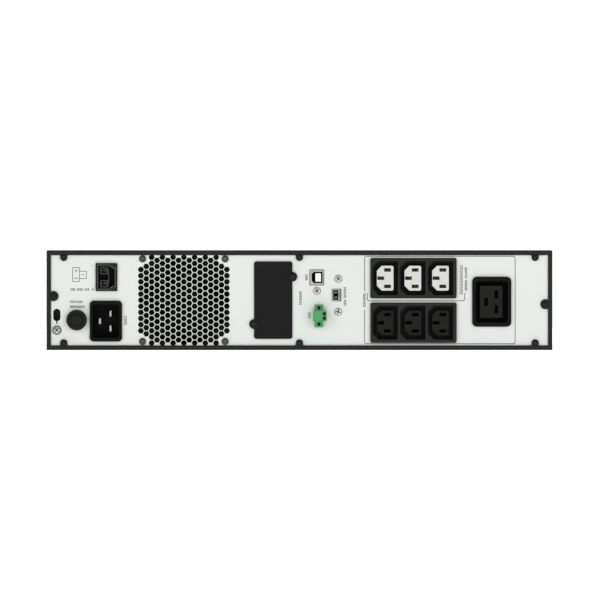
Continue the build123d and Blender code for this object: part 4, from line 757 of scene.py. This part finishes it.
# ---------------------------------------------------------------- battery drawer
# Six sealed lead-acid blocks in dark ABS lie in a galvanised tray that slides out to the front.
# Two knurled captive screws hold the tray; its bent handle is for fingers.

# ABS with a light leather grain of about 1 mm.
battery_abs = finish("abs_battery_case", "#232427", "#2D2E31", 25, 1.0, 0.03, (0.45, 0.6))
dress(battery_abs, "battery_cases")
# Pasted lead: dull and grainy.
lead = finish("pasted_lead", "#54565A", "#6C6E72", 5, 1.0, 0.05, (0.6, 0.8), metallic=0.4)
dress(lead, "battery_plates")

tree, given, result = named_tree("vent_caps", ("Radius", "Rise", "Slot"))
disc = add(tree, "GeometryNodeMeshCylinder", {
    "Vertices": 20, "Side Segments": 1, "Fill Segments": 1, "Radius": given["Radius"],
    "Depth": given["Rise"]})
slot_long = calc(tree, "MULTIPLY", given["Radius"], 1.4)
groove = cuboid(tree, slot_long, given["Slot"], given["Rise"])
groove = moved(tree, groove, translation=vector(tree, z=given["Rise"]))
sunk_rise = calc(tree, "MULTIPLY", given["Rise"], 0.6)
groove = moved(tree, groove, translation=vector(tree, z=calc(tree, "MULTIPLY", sunk_rise, -1.0)))
cap = add(tree, "GeometryNodeMeshBoolean", {"Mesh 1": disc.outputs[0]}, operation="DIFFERENCE",
          solver="EXACT")
tree.links.new(groove.outputs[0], cap.inputs["Mesh 2"])
copies = spread(tree, given["Geometry"], cap)
close_tree(tree, result, copies, given["Material"])
low, high = corners("battery_cases")
CAP_COLUMNS, CAP_ROWS, FIRST_ROW, ROW_PITCH = 12, 3, 47, 103.5
caps = []
for column in range(CAP_COLUMNS):
    for row in range(CAP_ROWS):
        caps.append((low.x + (high.x - low.x) * (column + 0.5) / CAP_COLUMNS,
                     low.y + (FIRST_ROW + ROW_PITCH * row) * MM, high.z + 0.3 * MM))
grow("battery_vent_caps", tree, "battery_module", {
    "Radius": 7 * MM, "Rise": 0.8 * MM, "Slot": 1.4 * MM, "Material": battery_abs}, caps)

tree, given, result = named_tree(
    "knurled_screws", ("Radius", "Height", "Flute Depth", "Shank Radius", "Shank Length"), ints=("Flutes",))
sides = calc(tree, "MULTIPLY", given["Flutes"], 2.0)
grip = add(tree, "GeometryNodeMeshCylinder", {
    "Vertices": sides, "Side Segments": 1, "Fill Segments": 1, "Radius": given["Radius"],
    "Depth": given["Height"]})
at = add(tree, "ShaderNodeSeparateXYZ", {0: add(tree, "GeometryNodeInputPosition")})
bearing = calc(tree, "ARCTAN2", at.outputs[1], at.outputs[0])
flute = calc(tree, "MULTIPLY", bearing, given["Flutes"])
ripple = calc(tree, "COSINE", flute)
inset = calc(tree, "MULTIPLY_ADD", ripple, given["Flute Depth"], 1.0)
knurled = reshaped(
    tree, grip, add(tree, "ShaderNodeVectorMath", {0: add(tree, "GeometryNodeInputPosition"),
    1: vector(tree, inset, inset, 1.0)}, operation="MULTIPLY"))
half = calc(tree, "MULTIPLY", given["Height"], 0.5)
knurled = moved(tree, knurled, translation=vector(tree, z=half))
stem = add(tree, "GeometryNodeMeshCylinder", {
    "Vertices": 16, "Side Segments": 1, "Radius": given["Shank Radius"], "Depth": given["Shank Length"]})
sink = calc(tree, "MULTIPLY", given["Shank Length"], -0.5)
stem = moved(tree, stem, translation=vector(tree, z=sink))
slit_long = calc(tree, "MULTIPLY", given["Radius"], 2.4)
slit = cuboid(tree, slit_long, 1.2 * MM, 2.4 * MM)
slit = moved(tree, slit, translation=vector(tree, z=given["Height"]))
headed = add(tree, "GeometryNodeMeshBoolean", {"Mesh 1": knurled}, operation="DIFFERENCE", solver="EXACT")
tree.links.new(slit.outputs[0], headed.inputs["Mesh 2"])
whole = joined(tree, headed, stem)
whole = moved(tree, whole, rotation=(-math.pi / 2, 0, 0))
copies = spread(tree, given["Geometry"], whole)
close_tree(tree, result, copies, given["Material"])
low, high = corners("tray_screws")
thumb_seat = high.y - 7 * MM
thumbs = grow("tray_screws_made", tree, "battery_module", {
    "Radius": 3.85 * MM, "Height": 7 * MM, "Flutes": 18, "Flute Depth": 0.035, "Shank Radius": 1.5 * MM,
    "Shank Length": thumb_seat - low.y, "Material": nickel},
    [(low.x + 4 * MM, thumb_seat, (low.z + high.z) / 2), (high.x - 4 * MM, thumb_seat, (low.z + high.z) / 2)])
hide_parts("tray_screws")

# ---------------------------------------------------------------- bezels and display
# Two moulded bezels close the front: one lifts off over the battery drawer, the other holds a round display
# that turns a quarter when the unit stands on its side. Four keys sit under a tinted window.

# Flame-retardant ABS with a spark-eroded grain: 0.3 mm in fact, drawn at 1 mm.
bezel_abs = finish("abs_black_textured", "#1B1B1C", "#222223", 60, 1.0, 0.025, (0.48, 0.62))
dress(bezel_abs, "display_bezel", "battery_bezel")
# The same plastic, smoother, on the part that turns.
module_abs = finish("abs_graphite_satin", "#2E3033", "#35373A", 40, 1.2, 0.01, (0.3, 0.4))
dress(module_abs, "display_housing")
# Matt silicone rubber.
key_rubber = finish("silicone_keys", "#3C3E41", "#46484B", 12, 0.9, 0.015, (0.55, 0.7))
dress(key_rubber, "power_button", "up_button", "down_button", "enter_button")
# Tinted acrylic window: nearly black and polished.
tinted_acrylic = finish("acrylic_tinted", "#0A1018", "#0D141E", 30, 8.0, 0.002, (0.05, 0.09), coat=0.4)
dress(tinted_acrylic, "display_window")

# White screen ink on the keys, and the lit segments of the display.
white_ink = finish("screen_ink_white", "#C9CBCB", "#D6D8D8", 4, 0.5, 0.003, (0.55, 0.7))
glow = finish("backlit_segments", "#7FB9E6", "#9CCBF0", 5, 1.0, 0.001, (0.5, 0.6))
shader = glow.node_tree.nodes["Principled BSDF"]
shader.inputs["Emission Color"].default_value = linear("#8FC4EE")
shader.inputs["Emission Strength"].default_value = 1.2

window_low, window_high = corners("display_window")
WINDOW_FACE = window_high.y
centre_x, centre_z = (window_low.x + window_high.x) / 2 / MM, (window_low.z + window_high.z) / 2 / MM
segments = [[(centre_x - 19, centre_z - 9), (centre_x + 19, centre_z - 9)]]
for i in range(5):
    bar = centre_x + 16 - i * 3.2
    segments.append([(bar, centre_z - 6), (bar, centre_z - 2 + i * 1.3)])
segments += [[(centre_x - 4, centre_z + 6), (centre_x - 4, centre_z - 5), (centre_x - 14, centre_z - 5),
              (centre_x - 14, centre_z + 6), (centre_x - 4, centre_z + 6)]]
segments += [[(centre_x - 6, centre_z + z), (centre_x - 12, centre_z + z)] for z in (-3.0, -0.4, 2.2)]
printed("display_segments", "display", WINDOW_FACE, segments, glow, width=0.9, corner=0.5, film=0.05)

for key, strokes in {
    "power": [[(-1.3, 0.9), (-1.3, -1.0), (1.3, -1.0), (1.3, 0.9)], [(0, 0.1), (0, 1.7)]],
    "up": [[(-1.2, -0.6), (0, 1.0), (1.2, -0.6), (-1.2, -0.6)]],
    "down": [[(-1.2, 0.6), (0, -1.0), (1.2, 0.6), (-1.2, 0.6)]],
    "enter": [[(-1.5, 1.2), (-1.5, -0.3), (1.3, -0.3)], [(0.5, -1.1), (1.4, -0.3), (0.5, 0.5)]],
}.items():
    low, high = corners(f"{key}_button", MM)
    mid_x, mid_z = (low.x + high.x) / 2, (low.z + high.z) / 2
    printed(f"{key}_symbol", f"{key}_key", high.y * MM, [[(mid_x + x, mid_z + z) for x,
                                                          z in stroke] for stroke in strokes], white_ink,
                                                          width=0.45, corner=0.3)

# ---------------------------------------------------------------- studio
# A pale floor that glows a little, as a light table does, with white surroundings and soft lights.
# A long lens looks square at the socket panel from the height of the case's middle.

FLOOR_SIZE = 60.0
floor_mesh = bpy.data.meshes.new("floor")
floor_mesh.from_pydata(
    [(x * FLOOR_SIZE, y * FLOOR_SIZE, 0) for x, y in ((-1, -1), (1, -1), (1, 1), (-1, 1))], [],
    [(0, 1, 2, 3)])
floor = stand("floor", floor_mesh)
pale_floor = finish("pale_floor", "#DADADA", "#E0E0E0", 400, 60, 0.01, (0.9, 0.95))
shader = pale_floor.node_tree.nodes["Principled BSDF"]
shader.inputs["Specular IOR Level"].default_value = 0.0
shader.inputs["Emission Color"].default_value = (1, 1, 1, 1)
shader.inputs["Emission Strength"].default_value = 0.79
floor_mesh.materials.append(pale_floor)

world = bpy.data.worlds.new("surroundings")
bpy.context.scene.world = world
world.use_nodes = True
tree = world.node_tree
tree.nodes.clear()
AMBIENT, REFLECTED, BACKDROP = 0.34, 0.16, 1.1
rays = add(tree, "ShaderNodeLightPath").outputs
lit = add(tree, "ShaderNodeBackground", {"Color": (1, 1, 1, 1), "Strength": AMBIENT})
mirrored = add(tree, "ShaderNodeBackground", {"Color": (1, 1, 1, 1), "Strength": REFLECTED})
white = add(tree, "ShaderNodeBackground", {"Color": (1, 1, 1, 1), "Strength": BACKDROP})
around = add(tree, "ShaderNodeMixShader", {0: rays["Is Glossy Ray"], 1: lit, 2: mirrored})
add(tree, "ShaderNodeOutputWorld", {
    "Surface": add(tree, "ShaderNodeMixShader", {0: rays["Is Camera Ray"], 1: around, 2: white})})


def soft_light(name, position, size, watts):
    """A square soft light that faces the middle of the case."""
    data = bpy.data.lights.new(name, "AREA")
    data.size = size
    data.energy = watts
    lamp = stand(name, data)
    lamp.location = position
    lamp.rotation_euler = (Vector((0, 0, 0.04)) - Vector(position)).to_track_quat("-Z", "Y").to_euler()
    lamp.visible_camera = False


soft_light("rear_left", (-1.9, -2.6, 1.3), 1.3, 20.5)
soft_light("rear_right", (1.9, -2.6, 1.1), 1.3, 20.5)
soft_light("front_left", (-1.9, 2.6, 1.2), 1.3, 22)
soft_light("front_right", (1.9, 2.6, 1.3), 1.3, 24)
soft_light("overhead", (0.0, -0.2, 2.2), 1.6, 12)

LENS, SENSOR, VIEW_WIDTH = 300.0, 36.0, 0.51948
camera_data = bpy.data.cameras.new("camera")
camera_data.lens = LENS
camera_data.sensor_width = SENSOR
camera_data.clip_start, camera_data.clip_end = 0.1, 200
camera = stand("camera", camera_data)
camera.location = (0.476 * MM, FLANGE_FACE - VIEW_WIDTH * LENS / SENSOR, 43.38 * MM)
camera.rotation_euler = (math.pi / 2, 0, 0)
bpy.context.scene.camera = camera
bpy.context.scene.view_settings.view_transform = "Standard"
bpy.context.scene.view_settings.look = "None"
